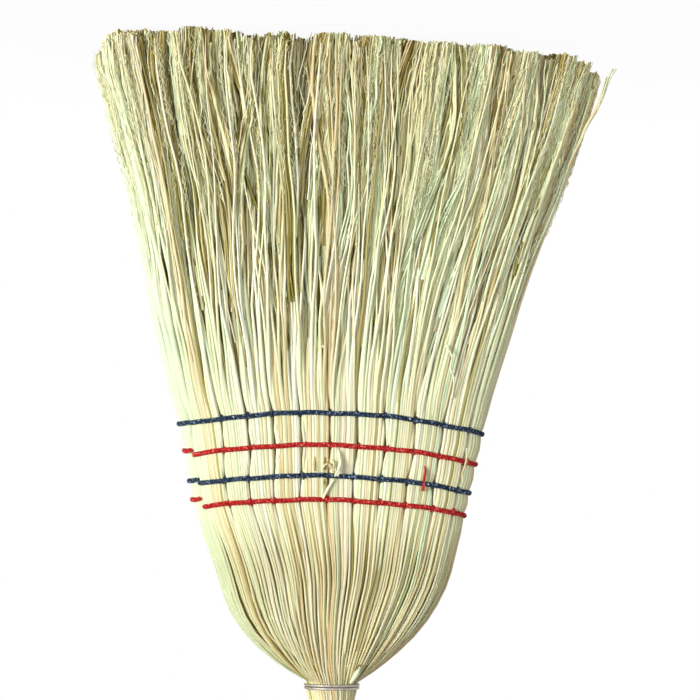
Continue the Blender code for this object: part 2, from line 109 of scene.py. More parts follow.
floor_material = bpy.data.materials.new("studio_floor")
floor_material.use_nodes = True
nodes, links = floor_material.node_tree.nodes, floor_material.node_tree.links
nodes.clear()
output = nodes.new("ShaderNodeOutputMaterial")
matt = nodes.new("ShaderNodeBsdfDiffuse")
matt.inputs["Color"].default_value = FLOOR_COLOUR
white = nodes.new("ShaderNodeEmission")
blend = nodes.new("ShaderNodeMixShader")
place = nodes.new("ShaderNodeTexCoord")
far = nodes.new("ShaderNodeVectorMath")
far.operation = "LENGTH"
reach = nodes.new("ShaderNodeMapRange")
reach.interpolation_type = "SMOOTHSTEP"
reach.inputs["From Max"].default_value = FLOOR_SHADOW_REACH
reach.inputs["To Min"].default_value = 1 - FLOOR_SHADOW_SHARE
share = nodes.new("ShaderNodeMath")
share.operation = "MULTIPLY"
connect(floor_material.node_tree, (
    (place.outputs["Object"], far.inputs[0]),
    (far.outputs["Value"], reach.inputs["Value"]),
    (reach.outputs["Result"], share.inputs[0]),
    (sees_backdrop(nodes, links), share.inputs[1]),
    (share.outputs[0], blend.inputs["Fac"]),
    (matt.outputs[0], blend.inputs[1]),
    (white.outputs[0], blend.inputs[2]),
    (blend.outputs[0], output.inputs["Surface"]),
))
floor_mesh = bpy.data.meshes.new("studio_floor")
half = FLOOR_SIZE / 2
floor_mesh.from_pydata(
    [(-half, -half, 0.0), (half, -half, 0.0), (half, half, 0.0), (-half, half, 0.0)],
    [],
    [(0, 1, 2, 3)],
)
floor_mesh.materials.append(floor_material)
floor = bpy.data.objects.new("studio_floor", floor_mesh)
bpy.context.scene.collection.objects.link(floor)

world = bpy.data.worlds.new("studio")
world.use_nodes = True
bpy.context.scene.world = world
nodes, links = world.node_tree.nodes, world.node_tree.links
nodes.clear()
output = nodes.new("ShaderNodeOutputWorld")
soft = nodes.new("ShaderNodeBackground")
soft.inputs["Color"].default_value = (1.0, 1.0, 1.0, 1.0)
soft.inputs["Strength"].default_value = SURROUND_STRENGTH
white = nodes.new("ShaderNodeBackground")
white.inputs["Color"].default_value = (1.0, 1.0, 1.0, 1.0)
blend = nodes.new("ShaderNodeMixShader")
connect(world.node_tree, (
    (sees_backdrop(nodes, links), blend.inputs["Fac"]),
    (soft.outputs[0], blend.inputs[1]),
    (white.outputs[0], blend.inputs[2]),
    (blend.outputs[0], output.inputs["Surface"]),
))
for name, spot, size, power in PANELS:
    panel = bpy.data.lights.new(name, "AREA")
    panel.shape = "RECTANGLE"
    panel.size, panel.size_y = size
    panel.energy = power
    lamp = bpy.data.objects.new(name, panel)
    bpy.context.scene.collection.objects.link(lamp)
    aimed = (PANEL_AIM - Vector(spot)).to_track_quat("-Z", "Y")
    lamp.matrix_world = Matrix.Translation(spot) @ aimed.to_matrix().to_4x4()
bpy.context.scene.view_settings.view_transform = "Standard"

# Handle: a stick turned from straight-grained pine, sanded and dipped in clear lacquer. Its
# tapered tip goes down inside the bulb of the head, which is bound on round it.
PINE_TINTS = (
    (0.0, (0.42, 0.25, 0.11)),
    (0.35, (0.60, 0.40, 0.20)),
    (0.7, (0.72, 0.52, 0.30)),
    (1.0, (0.80, 0.62, 0.38)),
)
GRAIN_STRETCH = (1400.0, 1400.0, 18.0)
GROWTH_STRETCH = (160.0, 160.0, 2.4)
GROWTH_CENTRE = (7.0, 3.0, 0.0)


def new_material(name):
    """A new material, with its node tree and its shader."""
    material = bpy.data.materials.new(name)
    material.use_nodes = True
    tree = material.node_tree
    return material, tree, tree.nodes["Principled BSDF"]


def streaks_group():
    """Shader group for fine streaks drawn out along a piece: fibre, grain, twist, drawing."""
    tree = bpy.data.node_groups.new("streaks", "ShaderNodeTree")
    face = tree.interface
    for name, kind in (
        ("Place", "Vector"), ("Stretch", "Vector"), ("Low Tone", "Float"), ("High Tone", "Float")
    ):
        face.new_socket(name, in_out="INPUT", socket_type=f"NodeSocket{kind}")
    for name in ("Tone", "Height"):
        face.new_socket(name, in_out="OUTPUT", socket_type="NodeSocketFloat")
    given, result = tree.nodes.new("NodeGroupInput"), tree.nodes.new("NodeGroupOutput")
    drawn = tree.nodes.new("ShaderNodeVectorMath")
    drawn.operation = "MULTIPLY"
    noise = tree.nodes.new("ShaderNodeTexNoise")
    noise.inputs["Scale"].default_value = 1.0
    noise.inputs["Detail"].default_value = 3.0
    tone = tree.nodes.new("ShaderNodeMapRange")
    tone.inputs["From Min"].default_value = 0.3
    tone.inputs["From Max"].default_value = 0.7
    connect(tree, (
        (given.outputs["Place"], drawn.inputs[0]),
        (given.outputs["Stretch"], drawn.inputs[1]),
        (drawn.outputs[0], noise.inputs["Vector"]),
        (noise.outputs["Fac"], tone.inputs["Value"]),
        (given.outputs["Low Tone"], tone.inputs["To Min"]),
        (given.outputs["High Tone"], tone.inputs["To Max"]),
        (tone.outputs["Result"], result.inputs["Tone"]),
        (noise.outputs["Fac"], result.inputs["Height"]),
    ))
    return tree


STREAKS = streaks_group()


def ramp_of(tree, stops):
    """A colour ramp with its stops."""
    ramp = tree.nodes.new("ShaderNodeValToRGB")
    band = ramp.color_ramp
    while len(band.elements) < len(stops):
        band.elements.new(0.5)
    for element, (position, colour) in zip(band.elements, stops):
        element.position = position
        element.color = (*colour, 1.0)
    return ramp


def streaked(tree, place, stretch, tones, bump_size, rough):
    """Places the streaks in a material and gives back their tone: tones and rough are the
    values at its two ends, and the bump's size is its strength and its depth."""
    shader = tree.nodes["Principled BSDF"]
    group = tree.nodes.new("ShaderNodeGroup")
    group.node_tree = STREAKS
    group.inputs["Stretch"].default_value = stretch
    group.inputs["Low Tone"].default_value, group.inputs["High Tone"].default_value = tones
    bump = tree.nodes.new("ShaderNodeBump")
    bump.inputs["Strength"].default_value, bump.inputs["Distance"].default_value = bump_size
    dull = tree.nodes.new("ShaderNodeMapRange")
    dull.inputs["To Min"].default_value, dull.inputs["To Max"].default_value = rough
    connect(tree, (
        (place, group.inputs["Place"]),
        (group.outputs["Height"], bump.inputs["Height"]),
        (bump.outputs["Normal"], shader.inputs["Normal"]),
        (group.outputs["Height"], dull.inputs["Value"]),
        (dull.outputs["Result"], shader.inputs["Roughness"]),
    ))
    return group.outputs["Tone"]


def pine_material():
    """Turned pine: growth rings drawn out along the stick under a thin clear lacquer."""
    material, tree, shader = new_material("lacquered_pine")
    shader.inputs["Coat Weight"].default_value = 0.35
    shader.inputs["Coat Roughness"].default_value = 0.18
    place = tree.nodes.new("ShaderNodeTexCoord").outputs["Object"]
    bands = tree.nodes.new("ShaderNodeTexWave")
    bands.wave_type = "RINGS"
    bands.rings_direction = "Z"
    bands.inputs["Scale"].default_value = 1.0
    bands.inputs["Distortion"].default_value = 5.0
    bands.inputs["Detail"].default_value = 2.0
    bands.inputs["Detail Scale"].default_value = 0.6
    shifted = tree.nodes.new("ShaderNodeMapping")
    shifted.inputs["Location"].default_value = GROWTH_CENTRE
    shifted.inputs["Scale"].default_value = GROWTH_STRETCH
    tone = streaked(tree, place, GRAIN_STRETCH, (0.35, 1.0), (0.2, 0.0002), (0.32, 0.5))
    ramp = ramp_of(tree, PINE_TINTS)
    share = tree.nodes.new("ShaderNodeMath")
    share.operation = "MULTIPLY"
    connect(tree, (
        (place, shifted.inputs["Vector"]),
        (shifted.outputs["Vector"], bands.inputs["Vector"]),
        (bands.outputs["Fac"], share.inputs[0]),
        (tone, share.inputs[1]),
        (share.outputs[0], ramp.inputs["Fac"]),
        (ramp.outputs["Color"], shader.inputs["Base Color"]),
    ))
    return material


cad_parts["handle"].material_slots[0].material = pine_material()

# Broomcorn: long pale stalks laid side by side round the handle, pinched by the wire, spread
# into a bulb and sewn flat. Below the seams each stalk branches into fine crimped fibres.
COLUMNS = 10
BUNCHES = 2 * COLUMNS + 2
EDGE_SHARE = 0.9
CLEARANCE = 0.0003
TWINE_DIAMETER = 0.0028
TIP_HALF_WIDTH = 0.1765
TIP_HALF_DEPTH = 0.0300
# heights as shares of the lowest seam's, with half widths, half depths and offsets
FLARE = (
    (0.12, 0.1696, 0.0296, 0.0014),
    (0.20, 0.1634, 0.0292, 0.0008),
    (0.28, 0.1574, 0.0288, 0.0008),
    (0.41, 0.1461, 0.0282, 0.0012),
    (0.51, 0.1379, 0.0277, 0.0032),
    (0.62, 0.1297, 0.0272, 0.0050),
    (0.73, 0.1226, 0.0266, 0.0060),
    (0.83, 0.1149, 0.0261, 0.0062),
    (0.94, 0.1072, 0.0255, 0.0066),
)
SEWN_HALF_WIDTH_LOW = 0.1028
SEWN_HALF_WIDTH_HIGH = 0.0922
SEWN_HALF_DEPTH = 0.025
SEWN_OFFSET = 0.0050
SEWN_POWER = 3.2
BULB_START = 0.0195
BULB_EASE = 0.0015
BULB_TOP_DROP = 0.00115
SEAT_RADIUS = 0.0173
SEAT_HEIGHT = 0.0065
NECK_RADIUS = 0.0152
NECK_SHRINK = 0.005
STALK_END_RADIUS = 0.0144
STALK_LENGTH = 0.111
STALK_CUT = 0.015
# shares of the way from the band to the upper seam, of width, of depth and of the offset
BULB_SHARES = (
    (0.09, 0.215, 0.50, 0.36),
    (0.24, 0.515, 1.10, 0.60),
    (0.37, 0.680, 1.25, 0.56),
    (0.57, 0.820, 1.25, 0.20),
)

seam_names = ("seam_blue_lower", "seam_red_lower", "seam_blue_upper", "seam_red_upper")
seam_heights = np.array([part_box(name)[0].z + TWINE_DIAMETER / 2 for name in seam_names])
band_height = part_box("binding_wire")[0].z - CLEARANCE


def mix(low, high, share):
    """The value at a share of the way from low to high."""
    return low + (high - low) * share


def between(value, low, high):
    """How far a value lies from low to high, kept to 0 to 1."""
    return np.clip((value - low) / (high - low), 0.0, 1.0)


def smooth(share):
    """A share that starts and ends level."""
    return share * share * (3 - 2 * share)


def outline_rows():
    """Heights with the head's half width, half depth and offset, from the trim line up."""
    low, high = seam_heights[0], seam_heights[-1]
    rows = [
        (0.0, TIP_HALF_WIDTH, TIP_HALF_DEPTH, 0.0),
        *((low * share, *sizes) for share, *sizes in FLARE),
        (low, SEWN_HALF_WIDTH_LOW, SEWN_HALF_DEPTH, SEWN_OFFSET),
        (high, SEWN_HALF_WIDTH_HIGH, SEWN_HALF_DEPTH, SEWN_OFFSET),
    ]
    for drop, wide, deep, aside in reversed(BULB_SHARES):
        rows.append((
            mix(band_height, high, drop),
            mix(BULB_START, SEWN_HALF_WIDTH_HIGH, wide),
            mix(BULB_START, SEWN_HALF_DEPTH, deep),
            SEWN_OFFSET * aside,
        ))
    seat_top = band_height + SEAT_HEIGHT
    for height, radius in (
        (band_height - BULB_EASE, BULB_START),
        (band_height, SEAT_RADIUS),
        (seat_top, SEAT_RADIUS),
        (seat_top + NECK_SHRINK, NECK_RADIUS),
        (band_height + STALK_LENGTH, STALK_END_RADIUS),
        (band_height + STALK_LENGTH + STALK_CUT, STALK_END_RADIUS),
    ):
        rows.append((height, radius, radius, 0.0))
    return np.array(rows)


OUTLINE = outline_rows()
ROUNDING_SHARE = 0.4
ROUNDING_LEAST = 0.0008
ROUNDING_MOST = 0.009
ROUNDING_STEPS = (-1.0, -0.5, 0.0, 0.5, 1.0)
bulb_top = band_height - BULB_TOP_DROP
bulb_foot = mix(band_height, seam_heights[-1], BULB_SHARES[-1][0])


def outline(height):
    """Half width, half depth and offset at a height, rounded between the rows."""
    window = np.clip(np.abs(height - band_height) * ROUNDING_SHARE, ROUNDING_LEAST, ROUNDING_MOST)
    return [
        sum(
            np.interp(height + step * window, OUTLINE[:, 0], OUTLINE[:, column]) / len(ROUNDING_STEPS)
            for step in ROUNDING_STEPS
        )
        for column in (1, 2, 3)
    ]


FAN_POWER = 2.4
edge_angle = math.acos(EDGE_SHARE ** (SEWN_POWER / 2))


def rim(place, height):
    """Point of the head's outline, seen from above, with the offset, the half width and the
    angle. Places count the bunches round from the +X edge. Between the band and the seams the
    stalks fan out straight, and those near the edges also follow the bulge."""
    half_width, half_depth, offset = outline(height)
    place = np.mod(place, BUNCHES)
    mirrored = place > BUNCHES / 2
    place = np.where(mirrored, BUNCHES - place, place)
    ring = np.cos(place * 2 * math.pi / BUNCHES)
    across = EDGE_SHARE * (1 - 2 * (place - 0.5) / COLUMNS)
    sewn = np.clip(across, -EDGE_SHARE, EDGE_SHARE)
    near = np.cos(edge_angle * np.clip(place, 0, 0.5) / 0.5) ** (2 / SEWN_POWER)
    far_place = np.clip(BUNCHES / 2 - place, 0, 0.5)
    far = -np.cos(edge_angle * far_place / 0.5) ** (2 / SEWN_POWER)
    sewn = np.where(place < 0.5, near, np.where(place > COLUMNS + 0.5, far, sewn))
    fan = between(height, band_height, seam_heights[-1])
    high = np.where(height > band_height, half_width, SEAT_RADIUS)
    low = np.where(height < seam_heights[-1], half_width, SEWN_HALF_WIDTH_HIGH)
    bulge = half_width - mix(high, low, fan)
    x = mix(high * ring, low * sewn, fan) + bulge * np.sign(sewn) * np.abs(sewn) ** FAN_POWER
    across = np.clip(x / half_width, -1.0, 1.0)
    power = mix(2.0, SEWN_POWER, smooth(between(height, bulb_top, bulb_foot)))
    angle = np.arccos(np.sign(across) * np.abs(across) ** (power / 2))
    angle = np.where(mirrored, -angle, angle)
    y = half_depth * np.sign(np.sin(angle)) * np.abs(np.sin(angle)) ** (2 / power)
    return offset + half_width * across, y, offset, half_width, angle


HANDLE_RADIUS = 0.012
HANDLE_GAP = 0.0006
CORE_RADIUS = HANDLE_RADIUS + HANDLE_GAP
CORE_CLOSE = 0.08
CORE_SHARE = 0.8
NEIGHBOUR = 0.08
# the rows of stitches arch up to the edges, most at the lowest one
ARCH_RISE_LOW = 0.0113
ARCH_RISE_HIGH = 0.008
ARCH_FADE = 0.042
ARCH_FOOT = 0.03
ARCH_FULL = 0.25


def head_point(place, height, share, pull, aside=0.0):
    """Points in the head: share is 0 at its core and 1 at its rim; pull is inward from there
    and aside is along the rim, both in metres."""
    x, y, offset, half_width, angle = rim(place, height)
    ahead, behind = rim(place + NEIGHBOUR, height), rim(place - NEIGHBOUR, height)
    along_x, along_y = ahead[0] - behind[0], ahead[1] - behind[1]
    length = np.hypot(along_x, along_y) + 1e-9
    core = between(height, bulb_top, band_height - CORE_CLOSE)
    middle = offset + np.clip(x - offset, -CORE_SHARE * half_width, CORE_SHARE * half_width)
    core_x = mix(CORE_RADIUS * np.cos(angle), middle, core)
    core_y = mix(CORE_RADIUS * np.sin(angle), 0.0, core)
    along_x, along_y = along_x / length, along_y / length
    flat_x = mix(core_x, x, share) - along_y * pull + along_x * aside
    flat_y = mix(core_y, y, share) + along_x * pull + along_y * aside
    sewn = between(height, seam_heights[-1] + ARCH_FADE, seam_heights[-1])
    rows = between(height, seam_heights[-1], seam_heights[0])
    rise = mix(ARCH_RISE_HIGH, ARCH_RISE_LOW, rows) * sewn
    rise = rise * between(height, ARCH_FOOT, ARCH_FULL)
    up = height + rise * ((flat_x - offset) / half_width) ** 2
    return np.stack([flat_x, flat_y, up], -1)


EVEN_STITCHES = BUNCHES - 0.5 - np.arange(COLUMNS + 1)
# how far each stitch stands from an even spacing, in columns, from the +X edge to the -X edge
STITCH_DRIFT = np.array((
    (0.14, 0.10, 0.17, 0.27, 0.27, 0.18, 0.20, 0.20, 0.07, 0.05, 0.00),
    (0.20, 0.15, 0.06, 0.06, 0.06, 0.14, 0.11, 0.01, -0.05, 0.00, 0.00),
    (0.16, 0.30, 0.34, 0.34, 0.23, 0.20, 0.26, 0.16, 0.10, 0.06, 0.00),
    (0.15, 0.20, 0.37, 0.38, 0.35, 0.25, 0.18, 0.16, 0.05, -0.09, 0.00),
))
GROOVE_DEPTH = 0.0016
GROOVE_REACH = 0.0045
STITCH_PIT = 0.0032
VALLEY_DEPTH = 0.0017
VALLEY_SHARE = 0.045
VALLEY_RUN_LOW = 0.085
VALLEY_RUN_HIGH = 0.045
COLUMN_PART = 0.00030
PARTING_MOST = 0.003
PARTING_REACH = 0.0080
PARTING_SHARE = 0.35


def stitch_drift(place, height):
    """How far the line of stitches near a place stands from an even spacing, in columns."""
    folded = np.where(place < BUNCHES / 2, BUNCHES - place, place)
    row = np.interp(height, seam_heights, np.arange(len(seam_heights)))
    drift = 0.0
    for number, shares in enumerate(STITCH_DRIFT):
        near = np.clip(1 - np.abs(row - number), 0, 1)
        drift = drift + near * np.interp(folded, EVEN_STITCHES[::-1], shares[::-1])
    return np.where(place < BUNCHES / 2, -drift, drift)


def seam_sink(place, height):
    """How far the stalks are drawn in by the seams and between the columns of stitches."""
    place = np.mod(place, BUNCHES)
    pinch = sum(np.exp(-(((height - row) / GROOVE_REACH) ** 2)) for row in seam_heights)
    side = place - stitch_drift(place, height) + 0.5
    side = np.abs(side - np.round(side))
    low = between(height, seam_heights[0] - VALLEY_RUN_LOW, seam_heights[0])
    high = between(height, seam_heights[-1] + VALLEY_RUN_HIGH, seam_heights[-1])
    valley = np.exp(-side / VALLEY_SHARE)
    sunk = VALLEY_DEPTH * valley * smooth(np.minimum(low, high))
    return GROOVE_DEPTH * np.minimum(pinch, 1.0) + sunk + STITCH_PIT * valley**2 * pinch


def parted(place, height, radius, width):
    """Shift along the rim that keeps each stalk of a bunch, whose width along the rim is given,
    on its own side of the line of stitches."""
    side = place - stitch_drift(np.mod(place, BUNCHES), height) + 0.5
    side = (side - np.round(side.mean(1, keepdims=True))) * width
    own = np.where(side.mean(1, keepdims=True) < 0, -1.0, 1.0)
    near = sum(np.exp(-(((height - row) / PARTING_REACH) ** 2)) for row in seam_heights)
    shift = own * (radius + COLUMN_PART - own * side).clip(0, PARTING_MOST)
    return shift * mix(PARTING_SHARE, 1.0, near.clip(0, 1))


# keep the crinkles of two strands apart, and spread a strand's tint a little round it
TINTS_APART = 977.0
TINT_ROUND = 0.008
TINT_LOW = 0.01
TINT_HIGH = 0.98


def tube_tree():
    """Geometry nodes that turn guide lines into crinkled tubes with a map of tint and length."""
    tree = bpy.data.node_groups.new("fibres_on_guides", "GeometryNodeTree")
    face = tree.interface
    face.new_socket("Guides", in_out="INPUT", socket_type="NodeSocketGeometry")
    sides = face.new_socket("Sides", in_out="INPUT", socket_type="NodeSocketInt")
    crinkle = face.new_socket("Crinkle Height", in_out="INPUT", socket_type="NodeSocketFloat")
    length = face.new_socket("Crinkle Length", in_out="INPUT", socket_type="NodeSocketFloat")
    face.new_socket("Finish", in_out="INPUT", socket_type="NodeSocketMaterial")
    face.new_socket("Fibres", in_out="OUTPUT", socket_type="NodeSocketGeometry")
    sides.default_value, crinkle.default_value, length.default_value = 3, 0.0, 0.006
    make = tree.nodes.new
    given, result = make("NodeGroupInput"), make("NodeGroupOutput")
    named = {}
    for attribute in ("radius", "slack", "tint", "along", "around"):
        named[attribute] = make("GeometryNodeInputNamedAttribute")
        named[attribute].inputs["Name"].default_value = attribute
    position = make("GeometryNodeInputPosition")
    stretched, seed, wave = (make("ShaderNodeVectorMath") for _ in range(3))
    stretched.operation, seed.operation, wave.operation = "DIVIDE", "ADD", "SUBTRACT"
    wave.inputs[1].default_value = (0.5, 0.5, 0.5)
    apart = make("ShaderNodeMath")
    apart.operation = "MULTIPLY"
    apart.inputs[1].default_value = TINTS_APART
    noise = make("ShaderNodeTexNoise")
    noise.inputs["Scale"].default_value = 1.0
    noise.inputs["Detail"].default_value = 1.0
    height = make("ShaderNodeMath")
    height.operation = "MULTIPLY"
    offset = make("ShaderNodeVectorMath")
    offset.operation = "SCALE"
    moved, curve = make("GeometryNodeSetPosition"), make("GeometryNodeMeshToCurve")
    circle, tube = make("GeometryNodeCurvePrimitiveCircle"), make("GeometryNodeCurveToMesh")
    circle.inputs["Radius"].default_value = 1.0
    turn, marked = make("GeometryNodeSplineParameter"), make("GeometryNodeStoreNamedAttribute")
    marked.inputs["Name"].default_value = "around"
    tube.inputs["Fill Caps"].default_value = True
    shade = make("GeometryNodeSetShadeSmooth")
    wide = make("ShaderNodeMath")
    wide.operation = "MULTIPLY_ADD"
    wide.inputs[1].default_value = TINT_ROUND
    map_place = make("ShaderNodeCombineXYZ")
    mapped = make("GeometryNodeStoreNamedAttribute")
    mapped.data_type, mapped.domain = "FLOAT2", "CORNER"
    mapped.inputs["Name"].default_value = "OFBake"
    real, painted = make("GeometryNodeRealizeInstances"), make("GeometryNodeSetMaterial")
    connect(tree, (
        (position.outputs[0], stretched.inputs[0]),
        (given.outputs["Crinkle Length"], stretched.inputs[1]),
        (named["tint"].outputs[0], apart.inputs[0]),
        (stretched.outputs[0], seed.inputs[0]),
        (apart.outputs[0], seed.inputs[1]),
        (seed.outputs[0], noise.inputs["Vector"]),
        (noise.outputs["Color"], wave.inputs[0]),
        (named["slack"].outputs[0], height.inputs[0]),
        (given.outputs["Crinkle Height"], height.inputs[1]),
        (wave.outputs[0], offset.inputs[0]),
        (height.outputs[0], offset.inputs["Scale"]),
        (given.outputs["Guides"], moved.inputs["Geometry"]),
        (offset.outputs[0], moved.inputs["Offset"]),
        (moved.outputs[0], curve.inputs["Mesh"]),
        (given.outputs["Sides"], circle.inputs["Resolution"]),
        (circle.outputs[0], marked.inputs["Geometry"]),
        (turn.outputs["Factor"], marked.inputs["Value"]),
        (curve.outputs[0], tube.inputs["Curve"]),
        (marked.outputs[0], tube.inputs["Profile Curve"]),
        (named["radius"].outputs[0], tube.inputs["Scale"]),
        (tube.outputs[0], shade.inputs["Geometry"]),
        (named["around"].outputs[0], wide.inputs[0]),
        (named["tint"].outputs[0], wide.inputs[2]),
        (wide.outputs[0], map_place.inputs["X"]),
        (named["along"].outputs[0], map_place.inputs["Y"]),
        (shade.outputs[0], mapped.inputs["Geometry"]),
        (map_place.outputs[0], mapped.inputs["Value"]),
        (mapped.outputs[0], real.inputs[0]),
        (real.outputs[0], painted.inputs["Geometry"]),
        (given.outputs["Finish"], painted.inputs["Material"]),
        (painted.outputs[0], result.inputs[0]),
    ))
    return tree


TUBES = tube_tree()


def tubes(guides, sides, crinkle_height, crinkle_length, finish):
    """A plain mesh of tubes on guide lines: points, radius, slack, share along and tint."""
    points, radius, slack, along, tint = guides
    strands, steps = radius.shape
    mesh = bpy.data.meshes.new("guides")
    mesh.vertices.add(strands * steps)
    mesh.vertices.foreach_set("co", points.reshape(-1).astype(np.float32))
    first = (np.arange(strands)[:, None] * steps + np.arange(steps - 1)[None, :]).reshape(-1)
    mesh.edges.add(len(first))
    ends = np.stack([first, first + 1], 1).reshape(-1)
    mesh.edges.foreach_set("vertices", ends.astype(np.int32))
    tint = np.tile(mix(TINT_LOW, TINT_HIGH, tint)[:, None], (1, steps))
    for name, values in (("radius", radius), ("slack", slack), ("tint", tint), ("along", along)):
        attribute = mesh.attributes.new(name, "FLOAT", "POINT")
        attribute.data.foreach_set("value", values.reshape(-1).astype(np.float32))
    guide = bpy.data.objects.new("guides", mesh)
    bpy.context.scene.collection.objects.link(guide)
    modifier = guide.modifiers.new("fibres", "NODES")
    modifier.node_group = TUBES
    values = {
        "Sides": sides,
        "Crinkle Height": crinkle_height,
        "Crinkle Length": crinkle_length,
        "Finish": finish,
    }
    for item in TUBES.interface.items_tree:
        if item.item_type == "SOCKET" and item.in_out == "INPUT" and item.name in values:
            modifier[item.identifier] = values[item.name]
    view = bpy.context.evaluated_depsgraph_get()
    made = bpy.data.meshes.new_from_object(guide.evaluated_get(view))
    bpy.data.objects.remove(guide, do_unlink=True)
    return made


def joined(name, meshes):
    """One object from several meshes that share their material."""
    parts = []
    for mesh in meshes:
        part = bpy.data.objects.new(name, mesh)
        bpy.context.scene.collection.objects.link(part)
        parts.append(part)
    if len(parts) > 1:
        with bpy.context.temp_override(active_object=parts[0], selected_editable_objects=parts):
            bpy.ops.object.join()
    piece = parts[0]
    piece.name = piece.data.name = name
    return piece


def times(tree, first, second):
    """Colour output of one colour multiplied by another."""
    node = tree.nodes.new("ShaderNodeMix")
    node.data_type = "RGBA"
    node.blend_type = "MULTIPLY"
    node.inputs["Factor"].default_value = 1.0
    connect(tree, ((first, node.inputs["A"]), (second, node.inputs["B"])))
    return node.outputs["Result"]


def strand_map(tree):
    """The map of tint and length that every tube carries."""
    chart = tree.nodes.new("ShaderNodeUVMap")
    chart.uv_map = "OFBake"
    return chart.outputs["UV"]


# colour bands of the straw, along the tint from 0 to 1; the brown and dark bands at the end serve mostly
# as painted shade deep in the head and between the tufts
STRAW_TINTS = (
    (0.00, (0.90, 0.91, 0.80)),
    (0.20, (0.89, 0.88, 0.64)),
    (0.36, (0.84, 0.84, 0.54)),
    (0.48, (0.79, 0.86, 0.59)),
    (0.60, (0.72, 0.85, 0.63)),
    (0.66, (0.85, 0.72, 0.48)),
    (0.76, (0.57, 0.49, 0.23)),
    (0.87, (0.34, 0.29, 0.08)),
    (1.00, (0.16, 0.125, 0.02)),
)
# tone along a stalk, from its cut end at the neck, 0, to the trimmed tips, 1: partly the straw's own tone
# and partly painted light and shade, darker over the bulb, which faces away from the key lamp, toned down
# at the neck and just above the seams, where the lamps fall strongest, and brought up in the middle of
# the bristles
STRAW_TONE_AND_SHADE = (
    (0.16, (0.90, 0.84, 0.70)),
    (0.22, (0.75, 0.67, 0.50)),
    (0.28, (0.80, 0.75, 0.62)),
    (0.34, (0.74, 0.69, 0.55)),
    (0.41, (0.86, 0.84, 0.74)),
    (0.47, (0.91, 0.90, 0.81)),
    (0.54, (0.88, 0.88, 0.80)),
    (0.62, (0.89, 0.90, 0.83)),
    (0.70, (1.0, 0.995, 0.95)),
    (0.78, (0.97, 0.98, 0.90)),
    (0.98, (1.0, 0.96, 0.85)),
)
STRAW_STRETCH = (620.0, 34.0, 1.0)


def straw_material():
    """Dry straw: a tint for each strand, the darker ones inside the head being painted shade, times a
    tone along the stalk that is partly painted light and shade, with fine streaks along it.
    """
    material, tree, shader = new_material("dry_straw")
    shader.inputs["Specular IOR Level"].default_value = 0.16
    chart = strand_map(tree)
    parts = tree.nodes.new("ShaderNodeSeparateXYZ")
    tints, tone_and_shade = ramp_of(tree, STRAW_TINTS), ramp_of(tree, STRAW_TONE_AND_SHADE)
    connect(tree, (
        (chart, parts.inputs[0]),
        (parts.outputs["X"], tints.inputs["Fac"]),
        (parts.outputs["Y"], tone_and_shade.inputs["Fac"]),
    ))
    tone = streaked(tree, chart, STRAW_STRETCH, (0.84, 1.06), (0.2, 0.0002), (0.40, 0.70))
    tinted_and_shaded = times(tree, tints.outputs["Color"], tone_and_shade.outputs["Color"])
    connect(tree, ((times(tree, tinted_and_shaded, tone), shader.inputs["Base Color"]),))
    return material


STRAW = straw_material()
GOLDEN = (math.sqrt(5) - 1) / 2


def arc_of(places, height):
    """Run along the rim, in metres, at each of the places."""
    x, y = rim(places, np.full_like(places, height))[:2]
    return np.concatenate([[0.0], np.cumsum(np.hypot(np.diff(x), np.diff(y)))])


BUNCH_SAMPLES = 161


def bunch_places(index, shares, height):
    """Places at shares of a bunch's run along the rim at a height, and the whole run."""
    fine = np.linspace(index - 0.5, index + 0.5, BUNCH_SAMPLES)
    run = arc_of(fine, height)
    return np.interp(shares * run[-1], run, fine), run[-1]


def bent(rng, strands, t, amount, turns):
    """Slow smooth drift for each strand, zero at its start."""
    drift = 0.0
    for share in (0.35, 0.7, 1.0):
        start = rng.uniform(0, 2 * np.pi, (strands, 1))
        height = rng.normal(0, 1, (strands, 1)) * amount / (0.6 + share)
        drift = drift + height * (np.sin(2 * np.pi * turns * share * t + start) - np.sin(start))
    return drift


RING_SAMPLES = 2400
RING = np.linspace(0.0, BUNCHES, RING_SAMPLES)
RING_ARC = arc_of(RING, 0.0)

# tufts in which the fibres stand at the tips, and the narrower gaps between them: ranges of
# width, of how far they lie back in the head and of tint; the gaps' darker tints are painted shade
TUFT_COUNT = 90
TUFT_WIDTHS = (0.013, 0.027)
TUFT_BACKS = (0.0, 0.0035)
TUFT_LEAN = 0.0035
TUFT_RISES = (0.0, 0.0015, 0.0035, 0.0060)
TUFT_TINTS = (0.08, 0.22, 0.48, 0.56, 0.60, 0.66)
# fibre tints at the -X and +X edges: beige away from the key lamp as painted shade, cream toward it as
# painted light
LIT_AND_SHADED_EDGE_TINTS = (0.66, 0.16)
GAP_SHARE = 0.36
GAP_WIDTHS = (0.005, 0.010)
GAP_BACKS = (0.006, 0.011)
GAP_SHADE_TINTS = (0.66, 0.84)
# gaps on the photographed face, from the -X edge to the +X edge: where the middle of each one
# lies, its width, and the tint of the tuft on its -X side
FRONT_GAPS = (
    (-0.156, 0.006, 0.66), (-0.137, 0.007, 0.36), (-0.104, 0.004, 0.30), (-0.072, 0.004, 0.58),
    (-0.038, 0.005, 0.34), (-0.005, 0.007, 0.48), (0.007, 0.003, 0.40), (0.018, 0.004, 0.54),
    (0.031, 0.003, 0.44), (0.044, 0.004, 0.56), (0.064, 0.005, 0.40), (0.083, 0.006, 0.54),
    (0.098, 0.006, 0.48), (0.110, 0.003, 0.22), (0.127, 0.0045, 0.30), (0.139, 0.006, 0.40),
)
FRONT_START_SHARE = 0.3
LAST_TUFT_WIDTH = 0.012


